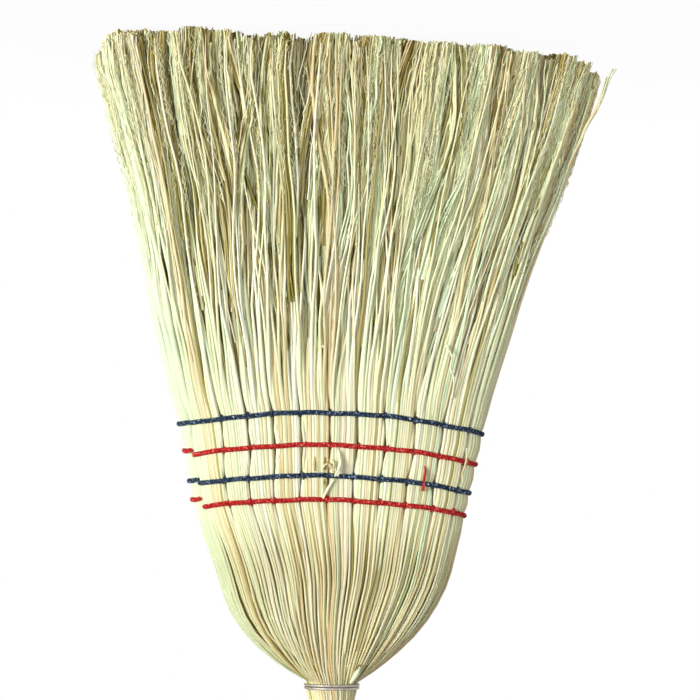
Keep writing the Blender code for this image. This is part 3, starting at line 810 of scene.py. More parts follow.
class Tufts:
    """Clumps in which the fibres stand at the tips: their edges along the rim and how each
    one leans, lies back, stands proud of the trim line and is coloured. The gaps take darker
    tints as painted shade, and the tuft at the +X end a cream one as painted light."""

    def __init__(self, seed):
        rng = np.random.default_rng(seed)
        gap = rng.uniform(0, 1, TUFT_COUNT) < GAP_SHARE
        gap[1:] &= ~gap[:-1]
        widths = rng.uniform(*TUFT_WIDTHS, TUFT_COUNT)
        widths[gap] = rng.uniform(*GAP_WIDTHS, gap.sum())
        front = RING > BUNCHES / 2 + FRONT_START_SHARE
        x = rim(RING, np.zeros_like(RING))[0]
        middles, gap_widths, tints = np.array(FRONT_GAPS).T
        middles = np.interp(middles, x[front], RING_ARC[front])
        sides = np.stack([middles - gap_widths / 2, middles + gap_widths / 2], 1).reshape(-1)
        edges = np.cumsum(widths)
        edges = edges[edges < sides[0] - LAST_TUFT_WIDTH]
        first = len(edges)
        self.edges = np.concatenate([[0.0], edges, sides, [RING_ARC[-1]]])
        gap[first:] = False
        gap[first + 1:first + len(sides):2] = True
        self.back = rng.uniform(*TUFT_BACKS, TUFT_COUNT)
        self.back[gap] = rng.uniform(*GAP_BACKS, gap.sum())
        self.lean = rng.normal(0, TUFT_LEAN, TUFT_COUNT)
        self.rise = rng.choice(TUFT_RISES, TUFT_COUNT)
        self.tint = rng.choice(TUFT_TINTS, TUFT_COUNT)
        self.tint[first:first + len(sides) + 1:2] = (*tints, LIT_AND_SHADED_EDGE_TINTS[-1])
        self.tint[gap] = rng.uniform(*GAP_SHADE_TINTS, gap.sum())

    def at(self, place):
        """Number of the tuft at a place, where in it the place lies, and half its width."""
        arc = np.interp(np.mod(place, BUNCHES), RING, RING_ARC)
        number = np.searchsorted(self.edges, arc, side="right") - 1
        number = number.clip(0, len(self.edges) - 2)
        half = (self.edges[number + 1] - self.edges[number]) / 2
        return number, (arc - self.edges[number]) / half - 1, half


TUFT_SEED = 7
TUFTS = Tufts(TUFT_SEED)
TUFT_PULL_SHARE = 0.38
TUFT_PULL_REACH = 0.009
GAP_DEPTH = 0.0160
GAP_DEPTH_AT_EDGES = 0.002
GAP_STEEPNESS = 290
GAP_HALF_WIDTHS = (0.008, 0.015)
CLUMP_WIDTH = 0.0072
CLUMP_SHIFT = 0.0014
CLUMP_DEPTH = 0.0007
CLUMP_BEND = 2.5
CLUMP_BEND_TURNS = 7.0
CLUMP_FULL_SHARE = 0.25
TIPS_START_SHARE = 0.72
TIPS_GAP_SHARE = 0.8
# shares of a bunch from the middle of an edge over which the face becomes flat
FLAT_START_SHARES = (0.3, 1.9)


def on_flat(place):
    """1 on the flat faces and 0 at the two edges of the head, where fibres keep in line."""
    ends = np.abs(np.mod(place + BUNCHES / 4, BUNCHES / 2) - BUNCHES / 4)
    return between(ends, *FLAT_START_SHARES)


def gathered(place, loose):
    """Shift along the rim that gathers fibres in tufts and in finer clumps within them, and how
    deep they lie in the head. Loose is 0 at the seams and 1 at the tips."""
    number, side, half = TUFTS.at(place)
    flat = on_flat(place)
    aside = -TUFT_PULL_SHARE * side * half.clip(0, TUFT_PULL_REACH) + TUFTS.lean[number] * flat
    gap = mix(GAP_DEPTH_AT_EDGES, GAP_DEPTH, flat)
    gap = gap * np.abs(side) ** (GAP_STEEPNESS * half.clip(*GAP_HALF_WIDTHS))
    turn = np.interp(np.mod(place, BUNCHES), RING, RING_ARC) / CLUMP_WIDTH + number * 0.37
    turn = 2 * np.pi * turn + CLUMP_BEND * np.sin(CLUMP_BEND_TURNS * loose + number)
    gap = gap + TUFTS.back[number] * flat + CLUMP_DEPTH * (1 - np.cos(turn)) * flat
    clumped = between(loose, 0.0, CLUMP_FULL_SHARE)
    # the gaps are deepest a little way up, and the cut ends spread to fill them
    filled = smooth(between(loose, TIPS_START_SHARE, 1.0))
    depth = loose**0.7 * mix(1.0, TIPS_GAP_SHARE, filled)
    return aside * smooth(loose) - CLUMP_SHIFT * np.sin(turn) * clumped, gap * depth


CORNER_RISE = 0.015
CORNER_POWERS = (22.0, 8.0)
TRIM_SLOPE = 0.0040
TRIM_SLOPE_START_SHARE = 0.25
TUFT_RIM_RISE = 0.0015
TRIM_RAGGED = 0.0008


def trim_height(place, rng):
    """Height of the cut end of each fibre: the corners are rounded and the line is ragged."""
    x = rim(place, np.zeros_like(place))[0] / TIP_HALF_WIDTH
    number, side, _ = TUFTS.at(place)
    corner = CORNER_RISE * np.abs(x) ** np.where(x > 0, *CORNER_POWERS)
    slope = TRIM_SLOPE * np.clip(TRIM_SLOPE_START_SHARE - x, 0, 1)
    ridge = TUFTS.rise[number] + TUFT_RIM_RISE * np.abs(side) ** 3
    return corner + slope + ridge + rng.gamma(1.2, TRIM_RAGGED, place.shape)


# ranges of tint of cream, straw, green, beige, brown and dark strands; the brown and dark ones serve
# mostly as painted shade deep in the head
STRAW_KINDS = np.array((
    (0.00, 0.20), (0.20, 0.42), (0.42, 0.62), (0.64, 0.71), (0.75, 0.88), (0.87, 1.00),
))


def straw_tint(rng, count, shares):
    """Tints for some strands, from the share of each kind."""
    kinds = rng.choice(len(STRAW_KINDS), count, p=np.array(shares) / sum(shares))
    low, high = STRAW_KINDS[kinds].T
    return rng.uniform(low, high)


def length_share(heights):
    """How far along the whole stalk a height is: 0 at the neck end and 1 at the tips."""
    return 1 - heights / (band_height + STALK_LENGTH)


# heights of a stalk's points from the band's lower edge, then shares of its loose length
BAND_LEVELS = np.array((
    0.0160, 0.0105, 0.0060, 0.0020, -0.0006, -0.0020, -0.0042, -0.0080, -0.014, -0.022, -0.032,
    -0.043, -0.054, -0.065, -0.076, -0.087, -0.098, -0.107,
))
LOOSE_SHARES = np.array((
    0.0, 0.06, 0.12, 0.19, 0.26, 0.34, 0.42, 0.50, 0.58, 0.66, 0.74, 0.82, 0.91, 1.0,
))
SEAM_LEVEL_STEP = 0.0042
LOOSE_START_DROP = 0.008


def stalk_heights(top, end):
    """Heights of each stalk's points, closest together at the band and at the seams."""
    levels = list(band_height + BAND_LEVELS)
    for row, below in zip(seam_heights[::-1], [*seam_heights[-2::-1], None]):
        levels += [row + SEAM_LEVEL_STEP, row, row - SEAM_LEVEL_STEP]
        if below is not None:
            levels.append((row + below) / 2)
    levels = np.tile(levels, (len(top), 1))
    neck = top[:, None] + (levels[:, :1] - top[:, None]) * np.array([[0.0, 0.5]])
    below = levels[:, -1:] - LOOSE_START_DROP
    loose = below + (end[:, None] - below) * LOOSE_SHARES[None, :]
    return np.concatenate([neck, levels, loose], 1)


# drops below the band and the lowest seam between which each part of the head begins and is full
NECK_DROPS = (0.030, 0.004)
BULB_DROPS = (0.030, 0.060)
ROOM_DROPS = (0.075, 0.004)
SEWN_DROP = 0.085
FRAYED_DROPS = (0.10, 0.01)
LOOSE_DROP = 0.005
SEAM_MARGIN = 0.004
NECK_ROOM_SHARE = 0.24
UNDER_EASE = 0.16
UNDER_START = 0.15


def parts_of_head(heights):
    """How fully each height is in the neck, the bulb, the sewn part and the loose bristles."""
    neck = smooth(between(heights, *(band_height - drop for drop in NECK_DROPS)))
    bulb = between(heights, seam_heights[-1] + SEAM_MARGIN, band_height - BULB_DROPS[1])
    bulb = bulb * between(heights, band_height - NECK_DROPS[1], band_height - BULB_DROPS[0])
    sewn = between(heights, band_height - SEWN_DROP, seam_heights[-1] + SEAM_MARGIN)
    sewn = smooth(sewn * between(heights, *(seam_heights[0] - drop for drop in FRAYED_DROPS)))
    loose = between(heights, seam_heights[0] - LOOSE_DROP, 0.0)
    return neck, bulb, sewn, loose


def crowded_under(index, heights):
    """How far each stalk has gone under the others: it stays on the surface only as far up the
    bulb as there is room for it."""
    room = between(heights, *(band_height - drop for drop in ROOM_DROPS))
    room = mix(1.0, NECK_ROOM_SHARE, room**1.1)
    rank = np.mod((np.arange(len(heights)) + 0.5) * GOLDEN + 0.37 * index, 1.0)[:, None]
    return smooth(np.clip((rank - room) / UNDER_EASE + UNDER_START, 0.0, 1.0))


# layers of stalks from the outer one in: share of runners, which reach the trim line, and the
# heights between which the others end
STALK_LAYERS = ((0.45, 0.04, 0.13), (0.20, 0.07, 0.15), (0.0, 0.05, 0.13))
STALK_STRAY = 0.32
LAYER_DEPTH = 0.0023
END_RAGGED = 0.012
WILD_SHARE = 0.24
WILD_BEND = 0.0095
BEND = 0.0040
BULB_STRAY = 0.0009
NECK_LEAN = 0.0026
NECK_LEAN_REACH = 0.0075
# radii on the flat faces and at the +X edge, and how far the two shoulders go to the second
LOOSE_RADII = (0.00088, 0.0018)
SEWN_RADII = (0.0015, 0.0028)
NECK_STALK_RADIUS = 0.00086
SHOULDER_SHARES = {0: 1.0, COLUMNS + 1: 0.15}
STALK_THICKNESSES = (0.76, 1.18)
THINNING = 0.03
END_TAPERS = (0.055, 0.004)
END_TAPER_SHARE = 0.4
END_SINK = 0.0055
LOOSE_BEND_IN = 0.0014
LOOSE_ROUGH = 0.0010
SEWN_ROUGH = 0.0004
BULB_ROUGH = 0.0023
STALK_PROUD = 0.0015
UNDER_DEPTH = 0.0021
NECK_SHARE_UNDER = 0.32
NECK_SHARE_LAYER = 0.20
# how far runners and the other stalks follow the gaps between the tufts
STALK_GAP_SHARES = (0.55, 0.75)


def stalk_aside(rng, place, heights, wild):
    """Shift of each stalk along the rim: it bends below the seams, the more if it is wild,
    strays a little in the bulb and leans one way above the wire."""
    _, bulb, _, loose = parts_of_head(heights)
    count = len(heights)
    aside = bent(rng, count, loose, np.where(wild, WILD_BEND, BEND), 0.9) * loose**0.7
    aside = aside * mix(0.2, 1.0, on_flat(place)) + rng.normal(0, BULB_STRAY, (count, 1)) * bulb
    above = (heights - band_height).clip(0)
    return aside - NECK_LEAN * (1 - np.exp(-above / NECK_LEAN_REACH))


def stalk_radius(index, rng, heights, runner, wild):
    """Radius along each stalk: fat where it is sewn, thin at the neck and to the tips."""
    neck, _, sewn, _ = parts_of_head(heights)
    shoulder = SHOULDER_SHARES.get(index, 0.0)
    fat = mix(mix(*LOOSE_RADII, shoulder), mix(*SEWN_RADII, shoulder), sewn)
    fat = mix(fat, NECK_STALK_RADIUS, neck)
    count = len(heights)
    size = rng.uniform(*STALK_THICKNESSES, count)[:, None]
    thin = np.where(runner, rng.uniform(0.5, 1.0, (count, 1)) * np.where(wild, 0.75, 1.0), 0.5)
    lower = between(heights, seam_heights[0] - THINNING, THINNING) ** 0.8
    radius = fat * size * mix(1.0, thin, lower)
    radius[:, -1] *= 0.5
    return radius


def stalk_pull(rng, place, heights, radius, runner, sunk):
    """How deep the middle of each stalk lies under the rim, where the seams, the gaps between
    the tufts and its own bends take it, besides what it is sunk already."""
    _, bulb, sewn, loose = parts_of_head(heights)
    rough = rng.uniform(0, 1, len(heights))[:, None] ** 1.5
    rough = rough * mix(mix(LOOSE_ROUGH, SEWN_ROUGH, sewn), BULB_ROUGH, bulb)
    deep = bent(rng, len(heights), loose, LOOSE_BEND_IN, 0.8)
    deep = np.where(runner, -np.abs(deep), deep)
    gap = gathered(place, loose)[1] * np.where(runner, *STALK_GAP_SHARES)
    return radius + seam_sink(place, heights) + sunk + rough + gap + deep * loose


def stalks(index, rng, count, layer, width):
    """Guides of one layer of stalks, from their cut ends at the neck down into the bristles."""
    runner_share, *end_heights = STALK_LAYERS[layer]
    inner = index % (COLUMNS + 1) not in (0, 1, COLUMNS)
    shares = (np.arange(count) + 0.5 + rng.uniform(-STALK_STRAY, STALK_STRAY, count)) / count
    if layer:
        shares = np.mod(shares + 0.5 / count, 1.0)
    place = bunch_places(index, shares, seam_heights[1])[0][:, None]
    top = band_height + STALK_LENGTH + rng.uniform(-END_RAGGED, END_RAGGED, count)
    runner = (rng.uniform(0, 1, count) < runner_share)[:, None]
    end = rng.uniform(*end_heights, count)
    trimmed = trim_height(place[:, 0], rng) + rng.uniform(0, END_RAGGED, count)
    end = np.where(runner[:, 0], trimmed, end)
    heights = stalk_heights(top, end)
    neck, _, sewn, loose = parts_of_head(heights)
    wild = rng.uniform(0, 1, (count, 1)) < (WILD_SHARE if inner else 0.0)
    aside = stalk_aside(rng, place, heights, wild)
    radius = stalk_radius(index, rng, heights, runner, wild)
    # a stalk that ends short of the trim line thins out and goes under the fibres over it
    near_end = between(heights, *(end[:, None] + rise for rise in END_TAPERS))
    near_end = np.where(runner, 0.0, smooth(near_end))
    radius = radius * mix(1.0, END_TAPER_SHARE, near_end)
    under = crowded_under(index, heights)
    sunk = (layer * LAYER_DEPTH + under * UNDER_DEPTH) * (1 - neck)
    pull = stalk_pull(rng, place, heights, radius, runner, sunk)
    pull = np.maximum(pull, radius - (STALK_PROUD if inner else 0.0)) + END_SINK * near_end
    share = 1.0 - neck * (NECK_SHARE_UNDER * under + NECK_SHARE_LAYER * layer)
    aside = aside + gathered(place, loose)[0]
    if layer < 2:
        aside = aside + parted(place, heights, radius, width) * sewn
    points = head_point(place, heights, share, pull, aside)
    return points, radius, 0.10 + 0.8 * loose, length_share(heights)


WISP_NODE_HEIGHT = 0.13
WISP_NODE_DROP = 0.008
WISP_LENGTH = 0.03
WISP_SHORT_SHARE = 0.12
WISP_SHORT = 0.04
BRANCH_LOWEST_SHARE = 0.45


def wisp_heights(rng, place, node, stem, t):
    """Heights along each fibre, from where it leaves its wisp's stem down to its cut end."""
    start = node * mix(1.0, BRANCH_LOWEST_SHARE, rng.uniform(0, 1, len(node)) ** 1.3)
    start = np.where(stem, node, start)
    end = trim_height(place, rng)
    short = rng.uniform(0, 1, len(node)) < WISP_SHORT_SHARE
    end = np.where(short, end + rng.uniform(0, WISP_SHORT, len(node)), end)
    end = np.minimum(end, start - WISP_LENGTH)
    return start[:, None] + (end - start)[:, None] * t**0.85


WISP_SWAY = 0.0055
WISP_SWAY_TURNS = (5.0, 4.0)
WISP_SWAY_AT_EDGES = 0.15


def wisp_sway(rng, strand, loose, flat):
    """How far the middle line of each fibre's wisp sways along the rim and into the head."""
    shape = (2, strand[-1] + 1)
    starts = rng.uniform(0, 2 * np.pi, shape)[:, strand, None]
    sizes = rng.normal(0, WISP_SWAY, shape)[:, strand, None]
    aside, inward = (
        size * (np.sin(turns * loose + start) - np.sin(start))
        for size, turns, start in zip(sizes, WISP_SWAY_TURNS, starts)
    )
    return aside * mix(WISP_SWAY_AT_EDGES, 1.0, flat), np.abs(inward) * 0.5


BRANCH_RUN = 0.055
BRANCH_SPREAD = (0.0008, 0.0013)
BRANCH_SPREAD_AT_EDGES = 0.5
BRANCH_DEPTH_SHARE = 0.7
BRANCH_STRAY_SHARE = 0.22
BRANCH_STRAY = 1.6
BRANCH_WANDER = 0.0009
BRANCH_WANDER_TURNS = 1.8
BRANCH_WANDER_AT_EDGES = 0.3


def branch_shifts(rng, heights, stem, loose, flat):
    """How far each fibre spreads from its wisp's middle line and how far it wanders, both along
    the rim, and how far it spreads into the head."""
    # a fibre leaves the wisp's middle line over its first few centimetres
    away = smooth(between(heights[:, :1] - heights, 0.0, BRANCH_RUN))
    strays = rng.uniform(0, 1, (len(stem), 1)) < BRANCH_STRAY_SHARE
    strays = np.where(strays, 1.0 + BRANCH_STRAY * flat, 1.0)
    spread = mix(*BRANCH_SPREAD, loose) * strays
    side = rng.normal(0, 1, len(stem))[:, None] * away * spread
    side = side * mix(BRANCH_SPREAD_AT_EDGES, 1.0, flat)
    deep = rng.normal(0, BRANCH_DEPTH_SHARE, len(stem))[:, None] * away * spread
    side, deep = np.where(stem[:, None], 0, side), np.where(stem[:, None], 0, deep)
    wander = bent(rng, len(stem), loose, BRANCH_WANDER, BRANCH_WANDER_TURNS) * strays
    return side, wander * mix(BRANCH_WANDER_AT_EDGES, 1.0, flat), deep


WISP_EVEN_SHARE = 0.4
WISP_STEM_RADIUS = 0.0013
BRANCH_RADIUS = 0.00080
BRANCH_RADIUS_SPREAD = 0.42
BRANCH_RADII = (0.00034, 0.0018)
BRANCH_TAPER = (1.1, 0.7)
WISP_HIDDEN = 0.0030
WISP_HIDDEN_DROPS = (0.045, 0.005)
WISP_PROUD = 0.0008


def wisps(index, rng, count, each, steps, depths):
    """Guides of the fine branches: each stalk ends in a wisp of fibres that reach the trim."""
    place = bunch_places(index, rng.uniform(0, 1, count), seam_heights[1] * WISP_EVEN_SHARE)[0]
    node = rng.uniform(WISP_NODE_HEIGHT, seam_heights[0] - WISP_NODE_DROP, count)
    depth = mix(*depths, rng.uniform(0, 1, count) ** 0.8)
    strand = np.repeat(np.arange(count), each)
    stem = np.tile(np.arange(each) == 0, count)
    place, depth = place[strand][:, None], depth[strand][:, None]
    t = np.linspace(0, 1, steps)[None, :]
    heights = wisp_heights(rng, place[:, 0], node[strand], stem, t)
    loose = between(heights, seam_heights[0] - LOOSE_DROP, 0.0)
    flat = on_flat(place)
    middle, inward = wisp_sway(rng, strand, loose, flat)
    side, wander, deep = branch_shifts(rng, heights, stem, loose, flat)
    shift, gap = gathered(place, loose)
    thick = rng.normal(math.log(BRANCH_RADIUS), BRANCH_RADIUS_SPREAD, len(stem))
    thick = np.where(stem, WISP_STEM_RADIUS, np.exp(thick).clip(*BRANCH_RADII))
    radius = thick[:, None] * mix(*BRANCH_TAPER, t**2)
    hidden = WISP_HIDDEN * between(heights, *(seam_heights[0] - drop for drop in WISP_HIDDEN_DROPS))
    pull = radius + seam_sink(place, heights) + hidden + gap + inward + deep
    pull = np.maximum(pull, radius - WISP_PROUD * loose)
    points = head_point(place, heights, depth, pull, middle + side + wander + shift)
    return points, radius, 0.2 + 2.2 * loose**1.5, length_share(heights)


FUZZ_STEPS = 13
FUZZ_LENGTHS = (0.012, 0.034)
FUZZ_REACH = 0.13
FUZZ_LEAN = 0.003
FUZZ_WAVES = (0.0050, 0.0090)
FUZZ_HEIGHTS = (0.0004, 0.0015)
FUZZ_RADII = (0.00018, 0.00034)
FUZZ_PROUD = (0.0004, 0.0030)


def fuzz(index, rng, count):
    """Guides of short crimped branchlets near the tips."""
    place = bunch_places(index, rng.uniform(0, 1, count), 0.0)[0]
    run = rng.uniform(*FUZZ_LENGTHS, count)
    low = trim_height(place, rng) + rng.beta(1.0, 2.0, count) * FUZZ_REACH
    t = np.linspace(0, 1, FUZZ_STEPS)[None, :]
    heights = low[:, None] + run[:, None] * (1 - t)
    loose = between(heights, seam_heights[0], 0.0)
    shift, gap = gathered(place[:, None], loose)
    aside = rng.normal(0, FUZZ_LEAN, count)[:, None] * t + shift
    wave = t * (run / rng.uniform(*FUZZ_WAVES, count))[:, None] * 2 * np.pi
    height = rng.uniform(*FUZZ_HEIGHTS, count)[:, None]
    start = rng.uniform(0, 6, (2, count))[:, :, None]
    radius = rng.uniform(*FUZZ_RADII, count)[:, None] * mix(1.0, 0.6, t)
    aside = aside + height * np.sin(wave + start[0])
    out = rng.uniform(*FUZZ_PROUD, count)[:, None] * mix(0.2, 1.0, on_flat(place[:, None]))
    pull = gap + height * np.sin(wave * 0.8 + start[1]) - out * t
    points = head_point(place[:, None], heights, 1.0, pull, aside)
    return points, radius, np.ones((count, FUZZ_STEPS)), length_share(heights)


FRONT_SAMPLES = 300
PIECE_STEPS = 15
PIECE_SIDES = 6
PIECE_TWIST = 0.7
PIECE_TINT_SPREAD = 0.04
NO_CRINKLE = (0.0, 1.0)
PIECE_EASING = (-0.06, -0.03, 0.0, 0.03, 0.06)
TONE_SHARE_SPREAD = 0.02


def laid_on_front(spots, radius, tint, strands, spread, tone_share=None):
    """Guides of loose pieces on the front, through spots: x, height and how far each stands
    off the head; radius is at the start, middle and end. Strands twist together, spread apart,
    and a tone share, where it is given, takes the place of the share along the stalk on the
    ramp of tone and painted light and shade."""
    spots = np.array(spots, dtype=float)
    t = np.linspace(0, 1, PIECE_STEPS)
    knots = np.linspace(0, 1, len(spots))
    eased = sum(
        np.stack([np.interp(t + shift, knots, column) for column in spots.T], 1)
        for shift in PIECE_EASING
    ) / len(PIECE_EASING)
    ends = (COLUMNS + 1 + FRONT_START_SHARE, BUNCHES - FRONT_START_SHARE)
    front = np.linspace(*ends, FRONT_SAMPLES)
    lines = []
    for strand in range(strands):
        turn = 2 * np.pi * (strand / strands + PIECE_TWIST * t)
        x = eased[:, 0] + spread * np.cos(turn) * (0.4 + t**2)
        surface = []
        for at, height in zip(x, eased[:, 1]):
            rim_x, rim_y = rim(front, np.full_like(front, height))[:2]
            surface.append(np.interp(at, rim_x, rim_y))
        y = np.array(surface) - eased[:, 2] + spread * np.sin(turn)
        lines.append(np.stack([x, y, eased[:, 1]], 1))
    lines = np.stack(lines)
    size = np.tile(np.interp(t, (0, 0.5, 1), radius), (strands, 1))
    tints = tint + np.linspace(-PIECE_TINT_SPREAD, PIECE_TINT_SPREAD, strands)
    along = length_share(lines[..., 2])
    if tone_share is not None:
        along = tone_share + TONE_SHARE_SPREAD * np.tile(t, (strands, 1))
    return lines, size, np.zeros_like(size), along, tints


# loose pieces of straw on the photographed face, by the bunch that they belong to: a stray tuft
# at the corner, torn straws among the stitches, a kinked fibre and a green leaf at the band;
# short dark strands beside the torn straws and the leaf are their painted shadows
LOOSE_PIECES = {
    "shoulder_left": (
        (((-0.1480, 0.0860, -0.002), (-0.1560, 0.0680, 0.000), (-0.1597, 0.0570, 0.001),
          (-0.1668, 0.0450, 0.001), (-0.1702, 0.0370, 0.001), (-0.1738, 0.0250, 0.001),
          (-0.1790, 0.0155, 0.001)), (0.0005, 0.0008, 0.0004), 0.63, 4, 0.0010),
        (((-0.1597, 0.0570, 0.001), (-0.1672, 0.0450, 0.002), (-0.1694, 0.0370, 0.001),
          (-0.1748, 0.0210, 0.001)), (0.0003, 0.0008, 0.0003), 0.66, 3, 0.0009),
        (((-0.0845, 0.2752, 0.002), (-0.0843, 0.2838, 0.005), (-0.0828, 0.2900, 0.005),
          (-0.0816, 0.2945, 0.004), (-0.0822, 0.2985, 0.003)), (0.0005, 0.0006, 0.0004), 0.66, 2, 0.0004),
    ),
    "bunch_front_06": (
        (((0.0026, 0.2800, -0.0010), (0.0014, 0.2845, 0.0010), (0.0012, 0.2895, 0.0022),
          (0.0024, 0.2937, 0.0032), (0.0036, 0.2975, 0.0022)), (0.0006, 0.0010, 0.0007), 0.10, 3, 0.0008),
        (((0.0130, 0.2925, -0.0004), (0.0108, 0.2892, 0.0010), (0.0086, 0.2896, 0.0012),
          (0.0070, 0.2930, 0.0002)), (0.0006, 0.0008, 0.0004), 0.67, 2, 0.0006),
        (((0.0070, 0.2862, -0.0004), (0.0054, 0.2885, 0.0014), (0.0050, 0.2925, 0.0016),
          (0.0042, 0.2950, 0.0000)), (0.0005, 0.0007, 0.0005), 0.66, 2, 0.0007),
        (((0.0050, 0.2995, -0.0002), (0.0078, 0.3040, 0.0006), (0.0108, 0.3095, 0.0004),
          (0.0127, 0.3150, -0.0012)), (0.0010, 0.0012, 0.0006), 0.14, 1, 0.0),
        # short dark strands sunk beside the torn straws: painted shadow
        (((0.0183, 0.2846, -0.0004), (0.0181, 0.2945, -0.0004)), (0.0004, 0.0010, 0.0005), 0.86, 1, 0.0),
        (((0.0116, 0.2846, -0.0002), (0.0113, 0.2935, -0.0002)), (0.0004, 0.0011, 0.0005), 0.95, 1, 0.0),
        (((0.0112, 0.2994, 0.0003), (0.0110, 0.3036, 0.0003)), (0.0003, 0.0007, 0.0004), 1.0, 1, 0.0),
    ),
    "bunch_front_03": (
        (((-0.0675, 0.2068, 0.000), (-0.0725, 0.2154, 0.003), (-0.0707, 0.2222, 0.003),
          (-0.0743, 0.2302, 0.002), (-0.0733, 0.2437, 0.000)), (0.0006, 0.0008, 0.0006), 0.12, 1, 0.0),
    ),
    "bunch_front_04": (
        (((-0.0168, 0.4236, 0.0000), (-0.0146, 0.4290, 0.0010), (-0.0112, 0.4350, 0.0004)),
         (0.0008, 0.0019, 0.0013), 0.60, 1, 0.0, 0.78),
        # a short dark strand beside the leaf: its painted shadow
        (((-0.0170, 0.4228, 0.0006), (-0.0152, 0.4232, 0.0012), (-0.0138, 0.4262, 0.0008)),
         (0.0005, 0.0004, 0.0003), 0.98, 1, 0.0),
    ),
}


def bunch_name(index):
    """Name of a bunch's node; columns are numbered from the -X edge to the +X edge."""
    if index in (0, COLUMNS + 1):
        return "shoulder_left" if index else "shoulder_right"
    if index <= COLUMNS:
        return f"bunch_back_{COLUMNS + 1 - index:02d}"
    return f"bunch_front_{index - COLUMNS - 1:02d}"


STALK_SPACINGS = {0: 0.0040, COLUMNS + 1: 0.0021}
STALK_SPACING = 0.00145
STALK_SIDES = (6, 4, 4)
STALK_CRINKLE = (0.0008, 0.012)
# shares of cream, straw, green, beige, brown and dark strands: the shoulder at -X, on the side away from
# the key lamp, and the deeper layers are browner and darker than the outer layer, as painted shade
SHADED_SHOULDER_TINT_SHARES = (6, 20, 14, 36, 18, 6)
SECOND_LAYER_SHADE_TINT_SHARES = (14, 20, 20, 24, 15, 7)
THIRD_LAYER_SHADE_TINT_SHARES = (0, 2, 8, 24, 34, 32)
# the shoulder at +X is nearly all pale green, with some cream
GREEN_SHARE = 0.9
GREEN_TINTS = (0.55, 0.61)
CREAM_TINT = 0.1
# the sixth column on the front has more tan stalks than the rest
TAN_BUNCH = COLUMNS + 7
TAN_SHARE = 0.45
TAN_TINTS = (0.66, 0.73)


def stalk_meshes(index, rng):
    """Tubes of the three layers of stalks, which turn from cream at the +X edge to tan at the
    other, as painted light toward the key lamp and painted shade away from it; the deeper
    layers are darker, also as painted shade."""
    arc = bunch_places(index, np.array([0.5]), seam_heights[1])[1]
    count = int(round(arc / STALK_SPACINGS.get(index, STALK_SPACING)))
    toward_shade = min(index, BUNCHES - index) / (COLUMNS + 1)
    outer_shares = (58 - 42 * toward_shade, 27, 18, 6 + 18 * toward_shade, 4 + 4 * toward_shade, 0)
    if index == COLUMNS + 1:
        outer_shares = SHADED_SHOULDER_TINT_SHARES
    meshes = []
    for layer, shares in enumerate((outer_shares, SECOND_LAYER_SHADE_TINT_SHARES, THIRD_LAYER_SHADE_TINT_SHARES)):
        guides = stalks(index, rng, count, layer, arc)
        tint = straw_tint(rng, count, shares)
        if index == 0 and layer == 0:
            green = rng.uniform(0, 1, count) < GREEN_SHARE
            tint = np.where(green, rng.uniform(*GREEN_TINTS, count), CREAM_TINT)
        if index == TAN_BUNCH and layer == 0:
            more = rng.uniform(0, 1, count) < TAN_SHARE
            tint = np.where(more, rng.uniform(*TAN_TINTS, count), tint)
        meshes.append(tubes((*guides, tint), STALK_SIDES[layer], *STALK_CRINKLE, STRAW))
    return meshes


RING_STRIDE = 12
TUFT_TINT_SHARE = 0.45
TUFT_TINT_SPREAD = 0.05
# fibres near the gaps between the tufts take dark tints as painted shade
GAP_SIDES = (0.3, 0.8)
GAP_EDGE = (0.0008, 0.0034)
GAP_EDGE_SHADE_TINTS = (0.74, 1.00)
GAP_EDGE_SHARE = 0.75


def tufted(rng, tint, tips):
    """Tints of fibres, some of which take after the tuft that they stand in, with darker ones
    between the tufts as painted shade; at the edges they take the edge tints, beige away from
    the key lamp as painted shade and cream toward it as painted light."""
    rim_x, rim_y = rim(RING, np.zeros_like(RING))[:2]
    away = np.hypot(tips[:, None, 0] - rim_x[::RING_STRIDE], tips[:, None, 1] - rim_y[::RING_STRIDE])
    near = np.argmin(away, 1) * RING_STRIDE
    number, side, half = TUFTS.at(RING[near])
    flat = on_flat(RING[near])
    end = np.where(np.abs(near - len(RING) / 2) < len(RING) / 4, *LIT_AND_SHADED_EDGE_TINTS)
    own = mix(end, TUFTS.tint[number], flat) + rng.normal(0, TUFT_TINT_SPREAD, len(tint))
    tint = np.where(rng.uniform(0, 1, len(tint)) < TUFT_TINT_SHARE, own.clip(0, 1), tint)
    close = 1 - between((1 - np.abs(side)) * half, *GAP_EDGE)
    close = close * between(np.abs(side), *GAP_SIDES)
    dark = rng.uniform(0, 1, len(tint)) < GAP_EDGE_SHARE * close * flat
    return np.where(dark, rng.uniform(*GAP_EDGE_SHADE_TINTS, len(tint)), tint)


# wisps in a bunch, and fibres in each
OUTER_WISPS = (27, 10)
INNER_WISPS = (18, 8)
WISP_SIDES = 3
WISP_CRINKLE = (0.0022, 0.0075)
OUTER_WISP_STEPS = 18
INNER_WISP_STEPS = 9
OUTER_WISP_DEPTHS = (0.88, 1.0)
INNER_WISP_DEPTHS = (0.15, 0.86)
# the inner wisps take brown and dark tints as painted shade deep in the head
INNER_WISP_SHADE_TINT_SHARES = (0, 3, 9, 28, 32, 28)
WISP_TINT_SHARE = 0.82
WISP_TINT_SPREAD = 0.03
FUZZ_COUNT = 80
FUZZ_CRINKLE = (0.0006, 0.004)
FUZZ_TINT_SHARES = (35, 30, 20, 12, 3, 0)


